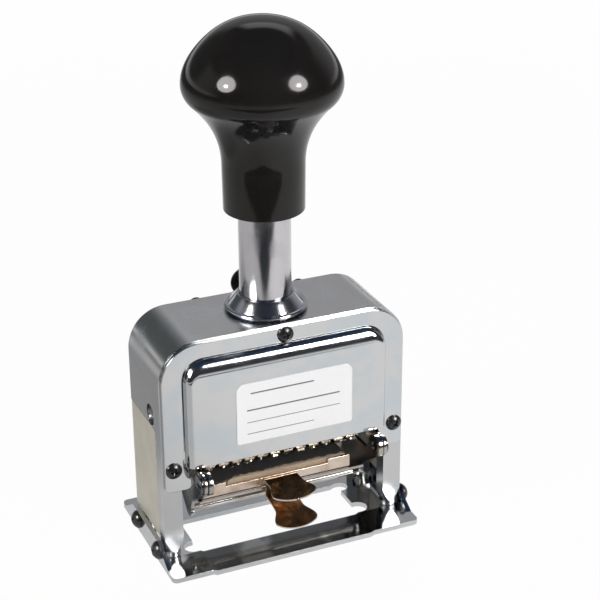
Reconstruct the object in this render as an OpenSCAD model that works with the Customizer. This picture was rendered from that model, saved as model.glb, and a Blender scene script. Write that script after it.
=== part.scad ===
// Self-inking automatic numbering machine with twelve number wheels.
// Frame: X to the right, front towards -Y, Z up, origin under the middle of the base plate.
// The plunger carries the wheels down through the base window while the ink pad swings forward.

/* [Housing] */
// Width of the housing over its side walls
housing_w = 74.4; // [72:0.2:80]
// Depth of the housing over both covers
housing_d = 28; // [26:0.2:31]
// Height of the top of the housing
housing_top = 69.6; // [67:0.2:76]
// Outer radius of the two top corners
corner_r = 11.5; // [9:0.5:12]
// Thickness of the side walls
wall = 2; // [1.6:0.1:2.2]
// Thickness of the top wall
top_wall = 2.4; // [2:0.1:2.8]
// Width of the legs and of the flange that the covers are screwed to
rim_w = 5.6; // [5.2:0.1:5.8]
// Thickness of that flange
rim_t = 1.8; // [1.4:0.1:2]
// Depth of a front leg
leg_d = 4.4; // [4:0.1:4.8]
// Depth of a rear leg
rear_leg_d = 7.8; // [7:0.1:8.2]
// Height over which the end of a leg is turned round
foot_h = 6.2; // [5:0.1:7]

/* [Base plate] */
// Distance that the base stands out past each side wall
base_margin = 1.4; // [1.2:0.1:2]
// Depth of the base plate
base_d = 46.2; // [42:0.2:52]
// Thickness of the base sheet
base_t = 1.5; // [1.2:0.1:1.6]
// Height that the ends of the base are set up above its rails
joggle_h = 0.5; // [0.3:0.1:0.6]
// Height of the side flanges
flange_top = 6.8; // [6:0.1:7]
// Distance from the wheel axle forward to the front edge of the window
window_ahead = 9.1; // [8.6:0.1:9.8]
// Distance from the wheel axle back to the rear edge of the window
window_behind = 8.8; // [8.2:0.1:9.8]
// Width of the tongues that point into the window
tongue_w = 7.8; // [6:0.1:8]
// Offset of the window to the left
window_shift = -1.3; // [-1.4:0.1:0]

/* [Covers] */
// Thickness of the cover sheet
cover_t = 1.2; // [1:0.1:1.3]
// Gap between the edge of a cover and the edge of the housing
cover_inset = 0.5; // [0.3:0.1:0.8]
// Width of the tabs at the lower corners of a cover
tab_w = 7.7; // [7:0.1:8]
// Length that the tabs reach down past the raised panel
tab_drop = 7.8; // [6:0.1:9]
// Distance from the side of the housing in to the raised panel
panel_side_margin = 6.6; // [6.2:0.1:7]
// Distance from the top of the housing down to the raised panel
panel_top_margin = 5.2; // [5:0.1:6]
// Height that the panel stands out
panel_h = 3; // [2.6:0.1:3.2]
// Length of the round shoulder along the top of the panel
shoulder_top = 5; // [4:0.1:6]
// Width of the round shoulder down the sides of the panel
shoulder_side = 1.9; // [1.5:0.1:2.4]
// Radius of the top corners of the panel
panel_corner_r = 6.5; // [5:0.5:8]
// Width of the label
label_w = 35.5; // [30:0.5:38]
// Height of the label
label_h = 19; // [16:0.5:20]
// Thickness of the ivory side covers
side_cover_t = 1.2; // [1:0.1:1.3]
// Height of the top of the side covers
side_cover_top = 41.8; // [40:0.1:43]

/* [Plunger] */
// Stroke of the plunger
stroke = 23.5; // [22:0.1:25]
// Radius of the plunger tube
tube_r = 7.4; // [7:0.1:7.8]
// Wall of the plunger tube
tube_wall = 1.6; // [1.2:0.1:1.8]
// Height of the guide collar above the housing
collar_h = 4.8; // [4.4:0.1:5.4]
// Radius of the lip of the guide collar
collar_r = 11.9; // [11.4:0.1:12.4]
// Room between the knob and the collar when the plunger is down
knob_stand = 1.7; // [1:0.1:2.4]
// Radius of the foot of the knob sleeve
sleeve_r = 11.4; // [11:0.1:12]
// Largest radius of the knob
knob_r = 22; // [20:0.1:24]
// Height from the lower rim of the knob to its largest radius
knob_grip_h = 35.8; // [34:0.2:38]
// Height of the dome of the knob
knob_dome_h = 18; // [17:0.5:20]

/* [Number wheels] */
// Number of wheels
wheel_n = 12; // [12:1:12]
// Room at each end between the wheels and the outside of the housing
side_room = 13.2; // [13:0.1:14]
// Radius over the type faces
wheel_r = 9.5; // [9:0.1:10]
// Y of the wheel axle
wheel_y = -3; // [-3.2:0.1:-2.8]
// Radius of the wheel axle
axle_r = 2; // [1.8:0.1:2.2]

/* [Ink pad] */
// Distance from the front of the raised panel forward to the axis that the pad swings on
pad_axis_ahead = 2; // [1.8:0.1:2.6]
// Height of that axis above the face of the ink pad
pad_axis_rise = 4.9; // [4.6:0.1:5.1]
// Gap between the ink pad and the lowest type face
pad_ink_gap = 0.5; // [0.4:0.1:0.8]
// Depth of the pad tray
tray_d = 16.8; // [16:0.1:17]
// Height of the walls of the pad tray
tray_h = 4.1; // [3.8:0.1:4.4]
// Gap between the tray and the left pad arm
tray_left_gap = 0.5; // [0.4:0.1:1]
// Room between the tray and the right pad arm
tray_right_room = 5.1; // [4.4:0.1:5.6]
// Length of the upper leaf of the release clip
upper_len = 13.2; // [12:0.1:13.6]
// Width of the upper leaf
upper_w = 13.2; // [12:0.1:13.6]
// Length of the lower leaf of the release clip
lower_len = 15.6; // [14:0.1:16]
// Width of the lower leaf
lower_w = 12.6; // [12:0.1:13.4]

/* [Fits] */
// Radial clearance of turning and sliding fits
running_clear = 0.06; // [0.03:0.01:0.1]
// Gap between parts that are fastened to each other
seat_clear = 0.03; // [0.02:0.01:0.05]

/* [Hidden] */
$fn = 48;

// Overlap of shapes that are joined, and reach of cuts past what they cut
join = 1;
eps = 0.01;
far = 200;

// Number wheels
wheel_pitch = (housing_w - 2 * side_room) / wheel_n;
wheel_gap = 0.3;
wheel_w = wheel_pitch - wheel_gap;
wheels_half_w = wheel_n * wheel_pitch / 2;
paper_gap = 0.1;
wheel_z = wheel_r + stroke + paper_gap;
figure_count = 10;
type_h = 4.2;
type_side = 0.05;
type_relief = 1.2;
type_root_r = wheel_r - type_relief;
ratchet_t = 0.7;
ratchet_step = 1;
ratchet_r = type_root_r - ratchet_step;
type_w = wheel_w - ratchet_t - 2 * type_side;

// Wheel carriage
plate_gap = 0.2;
plate_in = wheels_half_w + plate_gap;
plate_t = 1;
plate_out = plate_in + plate_t;
plate_relief = 2.1;
plate_round_r = wheel_r - plate_relief;
plate_front_relief = 1.5;
plate_front = wheel_y - wheel_r + plate_front_relief;
plate_corner = 2;

// Housing
side_x = housing_w / 2;
front_in = -housing_d / 2 + cover_t;
rear_in = housing_d / 2 - cover_t;
plate_rear_gap = 0.8;
plate_rear = rear_in - plate_rear_gap;
frame_bottom = base_t + joggle_h;
leg_in = side_x - rim_w;
front_leg_rear = front_in + leg_d;
rear_leg_front = rear_in - rear_leg_d;
side_rabbet = 0.6;
side_open_top = side_cover_top - side_rabbet;
side_cover_back_x = side_x - side_cover_t;
side_cover_gap = 0.05;
side_hole_setback = 3.8;
side_hole_rise = 3.5;
side_hole_y = front_leg_rear + side_hole_setback;
side_hole_z = side_cover_top + side_hole_rise;
side_hole_r = 3.1;
foot_r = 2.45;
foot_setback = 2.5;
foot_straight = 1.7;
foot_edge = 0.4;
foot_cone_r = 3.8;
rear_foot_h = 2.4;
rear_foot_r = 2;

// Ink pad carriage
panel_face_y = -housing_d / 2 - panel_h;
pad_face_z = wheel_z - wheel_r - pad_ink_gap;
pad_axis_y = panel_face_y - pad_axis_ahead;
pad_axis_z = pad_face_z + pad_axis_rise;
hub_r = 3.4;
hub_gap = 0.2;
hub_in = plate_out + hub_gap;
hub_w = 1.4;
hub_out = hub_in + hub_w;
arm_t = 1;
arm_in = hub_out - arm_t;
arm_boss_r = 3.2;
ear_gap = 0.3;
ear_in = hub_out + ear_gap;
ear_t = 1;
ear_out = ear_in + ear_t;
ear_boss_r = 3.2;
pivot_head_t = 0.7;
pivot_head_step = 0.6;
pivot_head_r = hub_r - pivot_head_step;
pivot_slot_depth = 0.4;
pivot_r = 1.5;
tray_ahead = 9.6;
pad_stand = 1.4;
tray_front = wheel_y - tray_ahead;
tray_rear = tray_front + tray_d;
tray_wall_top = pad_face_z - pad_stand;
tray_floor = tray_wall_top - tray_h;
tray_left = -arm_in + tray_left_gap;
tray_right = arm_in - tray_right_room;
tray_t = 0.8;
tray_edge_r = 2.1;
tray_tab_w = 7.1;
tray_tab_rise = 1.3;
pad_gap = 0.15;
bar_ahead = 1;
bar_drop = 6;
bar_y = wheel_y - bar_ahead;
bar_z = tray_floor - bar_drop;
bar_r = 1.1;
bar_boss_r = 2.2;
shelf_t = 0.8;
shelf_setback = 1.4;
arm_front_rise = 2.6;
arm_rear_rise = 1.8;

// Release clip: two leaves of spring sheet, one above the other
clip_offset = 0.4;
clip_x = (tray_left + tray_right) / 2 + clip_offset;
clip_t = 0.5;
clip_root_w = 8.6;
clip_root_y = tray_front - clip_t;
clip_root_drop = 1.3;
clip_root_top = tray_wall_top - clip_root_drop;
upper_gap = 0.5;
upper_drop = 0.1;
upper_root_y = clip_root_y - upper_gap;
upper_root_z = tray_wall_top - upper_drop;
upper_neck_w = 10.2;
upper_neck_l = 4;
lower_drop = 1.8;
lower_root_z = tray_floor - lower_drop;
lower_slope = 11;
lower_neck_l = 7;
leaf_tip_l = 2.8;
curl_r = 0.45;

// Screws
screw_shank_r = 1.2;
screw_recess_w = 0.6;
screw_hole_r = screw_shank_r + seat_clear;
cover_head_r = 2.4;
cover_head_h = 1.5;
base_head_r = 2.7;
base_head_h = 2.1;
side_head_r = 2.3;
side_head_h = 1.2;
shank_spare = 1;

// Base plate
base_half_w = side_x + base_margin;
base_half_d = base_d / 2;
base_corner_r = 1.6;
base_flange_gap = 0.1;
window_front = wheel_y - window_ahead;
window_rear = wheel_y + window_behind;
tongue_gap = 0.4;
tongue_ahead = 3.6;
front_lobe_reach = 3.5;
rear_lobe_reach = 3;
fold_inset = 1.4;
tongue_half = plate_out + tongue_gap;
tongue_front = wheel_y - tongue_ahead;
tongue_rear = tongue_front + tongue_w;
front_lobe_r = (tongue_front - window_front) / 2;
rear_lobe_r = (window_rear - tongue_rear) / 2;
front_lobe_x = tongue_half + front_lobe_reach - front_lobe_r;
rear_lobe_x = tongue_half + rear_lobe_reach - rear_lobe_r;
fold_x = tongue_half - fold_inset;
fold_run = 1;
flange_low_z = 1.2;
flange_front_inset = 3.6;
flange_rear_inset = 2.1;
flange_front_run = 10.1;
flange_rear_run = 8.6;
flange_low_front = -base_half_d + flange_front_inset;
flange_low_rear = base_half_d - flange_rear_inset;
flange_top_front = flange_low_front + flange_front_run;
flange_top_rear = flange_low_rear - flange_rear_run;
base_screw_drop = 2.3;
base_screw_setback = 2.4;
base_screw_z = flange_top - base_screw_drop;
base_front_screw_y = front_in + leg_d / 2;
base_rear_screw_y = rear_leg_front + base_screw_setback;

// Covers
cover_half_w = side_x - cover_inset;
cover_top = housing_top - cover_inset;
panel_half_w = side_x - panel_side_margin;
panel_top = housing_top - panel_top_margin;
pad_cover_gap = 0.8;
panel_bottom = pad_axis_z + hub_r + pad_cover_gap;
panel_back = 3;
panel_cut_drop = 5;
tab_in = cover_half_w - tab_w;
tab_bottom = panel_bottom - tab_drop;
tab_corner_r = 1.4;
label_t = 0.15;
label_x = 1.5;
label_rise = 14.1;
label_z = panel_bottom + label_rise;
label_top_r = 3;
label_low_r = 1;
side_cover_front_gap = 0.3;
side_cover_top_gap = 0.1;
side_cover_low_gap = 0.2;
side_cover_r = 0.8;
top_screw_drop = 2.7;
leg_screw_inset = 3.1;
leg_screw_drop = 0.9;
top_screw_z = housing_top - top_screw_drop;
front_top_screws = [0];
rear_top_screws = [-16, 16];
leg_screw_x = side_x - leg_screw_inset;
leg_screw_z = panel_bottom - leg_screw_drop;

// Brackets that carry the pad pivots
bracket_rear = 2;
bracket_rise = 4.7;
ear_front_setback = 0.6;
ear_rear_setback = 1;
bracket_top = side_hole_z + bracket_rise;
bracket_gap = 0.2;
lug_rear = -3;
ear_front = tray_front + ear_front_setback;
ear_rear = side_hole_y + ear_rear_setback;

// Plunger and what it slides in
collar_bottom = housing_top - top_wall;
collar_top = housing_top + collar_h;
collar_neck = 2;
spigot_r = 9.6;
lip_r = 0.65;
lip_rise = 1.1;
cone_foot_inset = 1.2;
cone_rim = 0.9;
lip_z = housing_top + lip_rise;
cone_out_r = collar_r - cone_foot_inset;
cone_in_r = tube_r + cone_rim;
tube_in_r = tube_r - tube_wall;
bridge_t = 3;
bridge_drop = 9.6;
tube_seat = 0.2;
bridge_z = housing_top - bridge_drop;
tube_bottom = bridge_z + tube_seat;
knob_bottom = collar_top + stroke + knob_stand;
knob_mid = knob_bottom + knob_grip_h;
knob_chamfer = 0.3;
tube_into_knob = 12.4;
tube_top = knob_bottom + tube_into_knob;
plug_h = 4;
slot_w = 4;
slot_low_margin = 0.6;
slot_top_margin = 1.6;
slot_z0 = bridge_z + bridge_t + slot_low_margin;
slot_z1 = knob_bottom - slot_top_margin;
dome_fullness = 0.054;
under_r = 6.5;
under_turn = 47.3;
sleeve_flare = 0.14;
throat_r = sleeve_r + sleeve_flare;
throat_h = 22.7;

// Stud that holds the plunger down
stud_tip_gap = 0.7;
stud_reach = 2;
stud_z = lip_z;
stud_pin_r = 0.8;
stud_head_r = 4.3;
stud_face_r = 2.4;
stud_rim_t = 0.6;
stud_dome_h = 1.8;
stud_tip_y = tube_r + stud_tip_gap;
stud_head_y = housing_d / 2 + stud_reach;

// Return spring and its fixed seat
anchor_gap = 1.3;
anchor_z = bridge_z + bridge_t + anchor_gap;
anchor_t = 2;
anchor_arm_w = 3;
anchor_block_w = 10;
anchor_tube_gap = 1.1;
anchor_rim_gap = 0.1;
spring_r = 4.5;
spring_wire_r = 0.6;
spring_seat_rim = 0.9;
spring_seat_r = spring_r + spring_seat_rim;
spring_turns = 9;
spring_steps = 20;
spring_z0 = anchor_z + anchor_t;
spring_z1 = tube_top - plug_h;

// Pieces on the wheel carriage
plate_floor_gap = 1.2;
plate_low = frame_bottom + stroke + plate_floor_gap;
axle_head_t = 0.2;
axle_head_step = 1;
axle_head_r = axle_r + axle_head_step;
pawl_behind = 2.9;
pawl_drop = 10;
pawl_wall = 1.1;
pawl_tip_rise = 3.2;
pawl_tip_l = 2;
pawl_step = 1;
pawl_y = wheel_y + wheel_r + pawl_behind;
pawl_z = bridge_z - pawl_drop;
pawl_r = 1.5;
pawl_tube_r = pawl_r + pawl_wall;
pawl_w = 1.6;
pawl_back = 1.4;
pawl_tip_z = wheel_z + pawl_tip_rise;
dial_behind = 7.5;
dial_drop = 6;
dial_y = wheel_y + dial_behind;
dial_z = bridge_z - dial_drop;
dial_r = 4.6;
dial_t = 1.6;
dial_pin_r = 1.2;
dial_gap = 0.3;
dial_slot_w = 0.8;
dial_slot_l = 6;
dial_slot_depth = 0.9;
comb_rise = 4.3;
comb_behind = 3.5;
comb_low = wheel_z + wheel_r + comb_rise;
comb_h = 2.4;
comb_front = wheel_y + comb_behind;
comb_d = 3;
leaf_l = 6.6;
leaf_t = 0.4;
leaf_w = 2;
leaf_slope = 24;

// Place a flat outline drawn in x and z between two y values.
module along_y(y0, y1) {
    translate([0, y1, 0]) rotate([90, 0, 0]) linear_extrude(height = y1 - y0) children();
}

// Place a flat outline drawn in y and z between two x values.
module along_x(x0, x1) {
    translate([x0, 0, 0]) rotate([90, 0, 90]) linear_extrude(height = x1 - x0) children();
}

module rod_x(x0, x1, y, z, r) {
    translate([x0, y, z]) rotate([0, 90, 0]) cylinder(h = x1 - x0, r = r);
}

module rod_y(y0, y1, x, z, r) {
    translate([x, y1, z]) rotate([90, 0, 0]) cylinder(h = y1 - y0, r = r);
}

module block(x0, x1, y0, y1, z0, z1) {
    translate([x0, y0, z0]) cube([x1 - x0, y1 - y0, z1 - z0]);
}

// The shape and its mirror image on the other side of x = 0.
module both_sides() {
    children();
    mirror([1, 0, 0]) children();
}

// Outline in x and z of an arch with round top corners.
module arch_outline(half_w, bottom, top, r) {
    translate([-half_w, bottom]) square([2 * half_w, top - r - bottom]);
    translate([-half_w + r, bottom]) square([2 * (half_w - r), top - bottom]);
    translate([-half_w + r, top - r]) circle(r = r);
    translate([half_w - r, top - r]) circle(r = r);
}

// Rectangle with four round corners, placed by its lower left corner.
module round_rect(x0, y0, w, h, r) {
    translate([x0 + r, y0]) square([w - 2 * r, h]);
    translate([x0, y0 + r]) square([w, h - 2 * r]);
    for (x = [x0 + r, x0 + w - r])
        for (y = [y0 + r, y0 + h - r])
            translate([x, y]) circle(r = r);
}

// Screw along +x from the origin: the head lies at x < 0 and is domed, with a cross recess.
module screw_x(head_r, head_h, shank_l) {
    dome_r = (head_r * head_r + head_h * head_h) / (2 * head_h);
    recess_l = 1.1 * head_r;
    difference() {
        intersection() {
            translate([-head_h + dome_r, 0, 0]) sphere(r = dome_r);
            rod_x(-head_h, 0, 0, 0, head_r);
        }
        for (a = [0, 90])
            rotate([a, 0, 0])
                block(-far, -head_h * 0.45, -screw_recess_w / 2, screw_recess_w / 2,
                    -recess_l / 2, recess_l / 2);
    }
    rod_x(0, shank_l, 0, 0, screw_shank_r);
}

// Places of one cover's screws; top_xs holds the x of each screw along its top.
module cover_screw_places(top_xs) {
    for (x = top_xs)
        translate([x, 0, top_screw_z]) children();
    translate([leg_screw_x, 0, leg_screw_z]) children();
    translate([-leg_screw_x, 0, leg_screw_z]) children();
}

// Holes for the screws of the cover at the front.
module cover_screw_holes(top_xs) {
    cover_screw_places(top_xs) rod_y(-far, 0, 0, 0, screw_hole_r);
}

module base_screw_places() {
    for (y = [base_front_screw_y, base_rear_screw_y])
        translate([-base_half_w, y, base_screw_z]) children();
}

module base_screw_holes() {
    both_sides() base_screw_places()
        rod_x(-join, base_margin + rim_w + join, 0, 0, screw_hole_r);
}

// Front leg: square above, with its end turned round.
module front_leg() {
    block(leg_in, side_x, front_in, front_leg_rear, frame_bottom + foot_h, side_open_top + join);
    intersection() {
        block(leg_in, side_x, front_in, front_leg_rear, frame_bottom, frame_bottom + foot_h + join);
        translate([leg_in + rim_w / 2, front_in + foot_setback, frame_bottom])
            rotate_extrude() polygon([
                [0, 0], [foot_r - foot_edge, 0], [foot_r, foot_edge], [foot_r, foot_straight],
                [foot_cone_r, foot_h], [foot_cone_r, foot_h + join], [0, foot_h + join]
            ]);
    }
}

// Rear leg: deeper than the front one, with round corners at its end.
module rear_leg() {
    x1 = side_cover_back_x - side_cover_gap;
    block(leg_in, x1, rear_leg_front, rear_in, frame_bottom + rear_foot_h, side_open_top + join);
    translate([0, 0, frame_bottom]) linear_extrude(height = rear_foot_h + eps)
        round_rect(leg_in, rear_leg_front, x1 - leg_in, rear_leg_d, rear_foot_r);
}

module arch_shell() {
    difference() {
        along_y(front_in, rear_in)
            arch_outline(side_x, side_open_top, housing_top, corner_r);
        along_y(front_in + rim_t, rear_in - rim_t)
            arch_outline(side_x - wall, 0, housing_top - top_wall, corner_r - wall);
        along_y(-far, far)
            arch_outline(leg_in, 0, housing_top - rim_w, corner_r - rim_w);
    }
}

module housing_frame() {
    color("lightsteelblue") difference() {
        union() {
            arch_shell();
            both_sides() front_leg();
            both_sides() rear_leg();
        }
        translate([0, 0, collar_bottom - join]) cylinder(h = far, r = spigot_r + seat_clear);
        both_sides() rod_x(leg_in, far, side_hole_y, side_hole_z, side_hole_r);
        both_sides() block(side_cover_back_x, far, front_leg_rear, far, 0, side_cover_top);
        cover_screw_holes(front_top_screws);
        mirror([0, 1, 0]) cover_screw_holes(rear_top_screws);
        base_screw_holes();
    }
}

// Side view of the base sheet: low rails in the middle, raised ends.
module base_side_view() {
    low_l = window_shift - fold_x;
    low_r = window_shift + fold_x;
    polygon([
        [-base_half_w, joggle_h], [low_l - fold_run, joggle_h], [low_l, 0],
        [low_r, 0], [low_r + fold_run, joggle_h], [base_half_w, joggle_h],
        [base_half_w, joggle_h + base_t], [low_r + fold_run, joggle_h + base_t], [low_r, base_t],
        [low_l, base_t], [low_l - fold_run, joggle_h + base_t], [-base_half_w, joggle_h + base_t]
    ]);
}

// Plan of one half of the window: a slot with two round lobes and a tongue between them.
module half_window() {
    translate([0, window_front]) square([tongue_half, window_rear - window_front]);
    translate([0, window_front]) square([front_lobe_x, 2 * front_lobe_r]);
    translate([front_lobe_x, window_front + front_lobe_r]) circle(r = front_lobe_r);
    translate([0, tongue_rear]) square([rear_lobe_x, 2 * rear_lobe_r]);
    translate([rear_lobe_x, tongue_rear + rear_lobe_r]) circle(r = rear_lobe_r);
}

module base_window() {
    translate([window_shift, 0]) {
        half_window();
        mirror([1, 0]) half_window();
    }
}

module side_flange() {
    along_x(side_x + base_flange_gap, base_half_w)
        polygon([
            [flange_low_front, joggle_h], [flange_low_rear, joggle_h],
            [flange_low_rear, flange_low_z], [flange_top_rear, flange_top],
            [flange_top_front, flange_top], [flange_low_front, flange_low_z]
        ]);
}

module base_plate() {
    color("silver") difference() {
        union() {
            intersection() {
                along_y(-base_half_d, base_half_d) base_side_view();
                linear_extrude(height = flange_top)
                    round_rect(-base_half_w, -base_half_d, 2 * base_half_w, base_d, base_corner_r);
            }
            both_sides() side_flange();
        }
        translate([0, 0, -join]) linear_extrude(height = flange_top) base_window();
        base_screw_holes();
    }
}

module base_screws() {
    color("black") both_sides() base_screw_places()
        screw_x(base_head_r, base_head_h, base_margin + rim_w - shank_spare);
}

// Round shoulder from the plate plane up to the panel face, seen from the side: y is height.
function shoulder_arc(run, rise, n = 10) =
    [for (i = [0 : n]) [run * (1 - cos(90 * i / n)), rise * sin(90 * i / n)]];

// Solid of the raised panel, shrunk by t for its inside.
module panel_solid(t) {
    top = panel_top - t;
    half = panel_half_w - t;
    y0 = -housing_d / 2 + t;
    low = panel_bottom - panel_cut_drop;
    side_arc = shoulder_arc(shoulder_side, panel_h);
    last = len(side_arc) - 1;
    intersection() {
        along_x(-half, half)
            polygon(concat(
                [[y0 + panel_back, low], [y0 + panel_back, top], [y0, top]],
                [for (p = shoulder_arc(shoulder_top, panel_h)) [y0 - p[1], top - p[0]]],
                [[y0 - panel_h, low]]
            ));
        translate([0, 0, panel_bottom - (t > 0 ? panel_cut_drop : 0)]) linear_extrude(height = far)
            polygon(concat(
                [[-half, y0 + panel_back], [-half, y0]],
                [for (p = side_arc) [-half + p[0], y0 - p[1]]],
                [for (i = [last : -1 : 0]) [half - side_arc[i][0], y0 - side_arc[i][1]]],
                [[half, y0], [half, y0 + panel_back]]
            ));
        along_y(-far, far) arch_outline(half, 0, top, panel_corner_r - t);
    }
}

// Flat sheet of a cover with its two side tabs.
module cover_sheet() {
    along_y(-housing_d / 2, front_in) {
        arch_outline(cover_half_w, panel_bottom, cover_top, corner_r - cover_inset);
        for (x = [-cover_half_w, tab_in])
            round_rect(x, tab_bottom, tab_w, 2 * tab_drop, tab_corner_r);
    }
}

module cover(top_xs) {
    difference() {
        union() {
            cover_sheet();
            intersection() {
                panel_solid(0);
                block(-far, far, -far, front_in, panel_bottom, far);
            }
        }
        panel_solid(cover_t);
        cover_screw_holes(top_xs);
    }
}

module front_cover() {
    color("gainsboro") cover(front_top_screws);
}

module rear_cover() {
    color("gainsboro") mirror([0, 1, 0]) cover(rear_top_screws);
}

module cover_screws(top_xs) {
    cover_screw_places(top_xs) translate([0, -housing_d / 2, 0])
        rotate([0, 0, 90]) screw_x(cover_head_r, cover_head_h, cover_t + rim_t);
}

module front_cover_screws() {
    color("black") cover_screws(front_top_screws);
}

module rear_cover_screws() {
    color("black") mirror([0, 1, 0]) cover_screws(rear_top_screws);
}

// Label with larger corners at its top than at its foot.
module label() {
    x0 = label_x - label_w / 2;
    z0 = label_z - label_h / 2;
    color("white") along_y(panel_face_y - label_t, panel_face_y) {
        round_rect(x0, z0, label_w, label_h / 2 + label_top_r, label_low_r);
        round_rect(x0, z0 + label_h / 3, label_w, label_h * 2 / 3, label_top_r);
    }
}

module side_cover() {
    y0 = front_leg_rear + side_cover_front_gap;
    z0 = flange_top + side_cover_low_gap;
    color("ivory") along_x(side_cover_back_x, side_x)
        round_rect(y0, z0, rear_in - y0, side_cover_top - side_cover_top_gap - z0, side_cover_r);
}

module left_side_cover() {
    mirror([1, 0, 0]) side_cover();
}

module right_side_cover() {
    side_cover();
}

// Hollow cone of the collar from its lip up to the tube, as radius and height.
function cone_curve(n = 6) =
    [for (i = [0 : n]) [cone_in_r + (cone_out_r - cone_in_r) * (1 + cos(180 * i / n)) / 2,
        lip_z + (collar_top - lip_z) * i / n]];

// Guide collar: spigot in the top wall, low neck, round lip and a hollow cone up to the tube.
module collar() {
    color("silver") difference() {
        rotate_extrude() difference() {
            union() {
                translate([0, collar_bottom]) square([spigot_r, top_wall + join]);
                translate([0, housing_top]) square([collar_r - collar_neck, lip_z - housing_top]);
                translate([0, lip_z - lip_r]) square([collar_r - lip_r, 2 * lip_r]);
                translate([collar_r - lip_r, lip_z]) circle(r = lip_r);
                polygon(concat([[0, lip_z]], cone_curve(), [[0, collar_top]]));
            }
            square([tube_r + running_clear, far]);
        }
        rod_y(0, far, 0, stud_z, stud_pin_r + running_clear);
    }
}

module side_screws() {
    color("dimgray") both_sides()
        translate([-(side_x - wall), side_hole_y, side_hole_z])
            screw_x(side_head_r, side_head_h, ear_t + side_head_h);
}

// Bracket from the side wall to the ear that carries one pad pivot.
module pad_bracket() {
    plate_x = side_x - wall - ear_t;
    plate_front_y = front_leg_rear + bracket_gap;
    difference() {
        union() {
            block(plate_x, side_x - wall - seat_clear, plate_front_y, bracket_rear,
                side_open_top, bracket_top);
            block(ear_in, plate_x + ear_t / 2, plate_front_y, lug_rear, bracket_top - ear_t, bracket_top);
            along_x(ear_in, ear_out) {
                polygon([
                    [ear_rear + ear_boss_r / 4, bracket_top - 2 * ear_boss_r], [ear_rear, bracket_top],
                    [ear_front, bracket_top], [ear_front, pad_axis_z + 1.15 * ear_boss_r],
                    [pad_axis_y + ear_boss_r / 2, pad_axis_z + 0.97 * ear_boss_r],
                    [pad_axis_y - ear_boss_r / 2, pad_axis_z - 0.9 * ear_boss_r],
                    [pad_axis_y + 2.6 * ear_boss_r, pad_axis_z - ear_boss_r / 2]
                ]);
                translate([pad_axis_y, pad_axis_z]) circle(r = ear_boss_r);
            }
        }
        rod_x(0, far, side_hole_y, side_hole_z, screw_hole_r);
        rod_x(0, far, pad_axis_y, pad_axis_z, pivot_r + seat_clear);
    }
}

module left_pad_bracket() {
    color("silver") mirror([1, 0, 0]) pad_bracket();
}

module right_pad_bracket() {
    color("silver") pad_bracket();
}

// Shoulder screws that the pad carriage turns on.
module pad_pivot_screws() {
    slot_half_l = 0.65 * pivot_head_r;
    color("silver") both_sides() difference() {
        union() {
            rod_x(ear_out, ear_out + pivot_head_t, pad_axis_y, pad_axis_z, pivot_head_r);
            rod_x(hub_in + ear_gap, ear_out + eps, pad_axis_y, pad_axis_z, pivot_r);
        }
        block(ear_out + pivot_head_t - pivot_slot_depth, far,
            pad_axis_y - slot_half_l, pad_axis_y + slot_half_l,
            pad_axis_z - dial_slot_w / 2, pad_axis_z + dial_slot_w / 2);
    }
}

// Fixed seat that reaches through the slot of the tube and holds the return spring.
module spring_anchor() {
    rear = rear_in - rim_t - anchor_rim_gap;
    color("gray") {
        translate([0, 0, anchor_z]) cylinder(h = anchor_t, r = spring_seat_r);
        block(-anchor_arm_w / 2, anchor_arm_w / 2, 0, rear, anchor_z, anchor_z + anchor_t);
        block(-anchor_block_w / 2, anchor_block_w / 2, tube_r + anchor_tube_gap, rear,
            anchor_z, collar_bottom - seat_clear);
    }
}

function coil_point(i, a) =
    let (turn = 360 * i / spring_steps)
    let (rise = (spring_z1 - spring_z0 - 2 * spring_wire_r) / (spring_turns * spring_steps))
    let (r = spring_r + spring_wire_r * cos(a))
    [r * cos(turn), r * sin(turn), spring_z0 + spring_wire_r + rise * i + spring_wire_r * sin(a)];

module return_spring() {
    sides = 6;
    rings = spring_turns * spring_steps;
    points = [for (i = [0 : rings]) for (k = [0 : sides - 1]) coil_point(i, 360 * k / sides)];
    walls = [for (i = [0 : rings - 1]) for (k = [0 : sides - 1])
        [i * sides + k, i * sides + (k + 1) % sides, (i + 1) * sides + (k + 1) % sides, (i + 1) * sides + k]];
    start = [[for (k = [sides - 1 : -1 : 0]) k]];
    finish = [[for (k = [0 : sides - 1]) rings * sides + k]];
    color("dimgray") polyhedron(points = points, faces = concat(start, walls, finish));
}

// Half section of the knob: flattened dome, turned-under rim, hollow throat and tapered sleeve.
function knob_dome(n = 18) =
    [for (i = [0 : n]) let (a = 90 * i / n)
        [knob_r * sin(a) * (1 - dome_fullness * pow(sin(2 * a), 2)), knob_mid + knob_dome_h * cos(a)]];

function knob_under_point(a) =
    [knob_r - under_r * (1 - cos(a)), knob_mid - under_r * sin(a)];

function knob_under(n = 8) =
    [for (i = [1 : n]) knob_under_point(under_turn * i / n)];

// Point below the end of the rim where its tangent meets the sleeve.
function throat_pull(p) = [throat_r, p[1] - (p[0] - throat_r) / tan(under_turn)];

// Quadratic curve through a start, a pull point and an end.
function pulled(p, c, q, n = 12) =
    [for (i = [1 : n]) let (s = i / n) (1 - s) * (1 - s) * p + 2 * s * (1 - s) * c + s * s * q];

module knob() {
    rim_end = knob_under_point(under_turn);
    throat = pulled(rim_end, throat_pull(rim_end), [throat_r, knob_mid - throat_h]);
    color([0.08, 0.08, 0.08]) difference() {
        rotate_extrude() polygon(concat(
            [[0, knob_bottom]], knob_dome(), knob_under(), throat,
            [[sleeve_r, knob_bottom + knob_chamfer], [sleeve_r - knob_chamfer, knob_bottom]]
        ));
        translate([0, 0, knob_bottom - join])
            cylinder(h = tube_into_knob + join + seat_clear, r = tube_r + seat_clear);
    }
}

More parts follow.
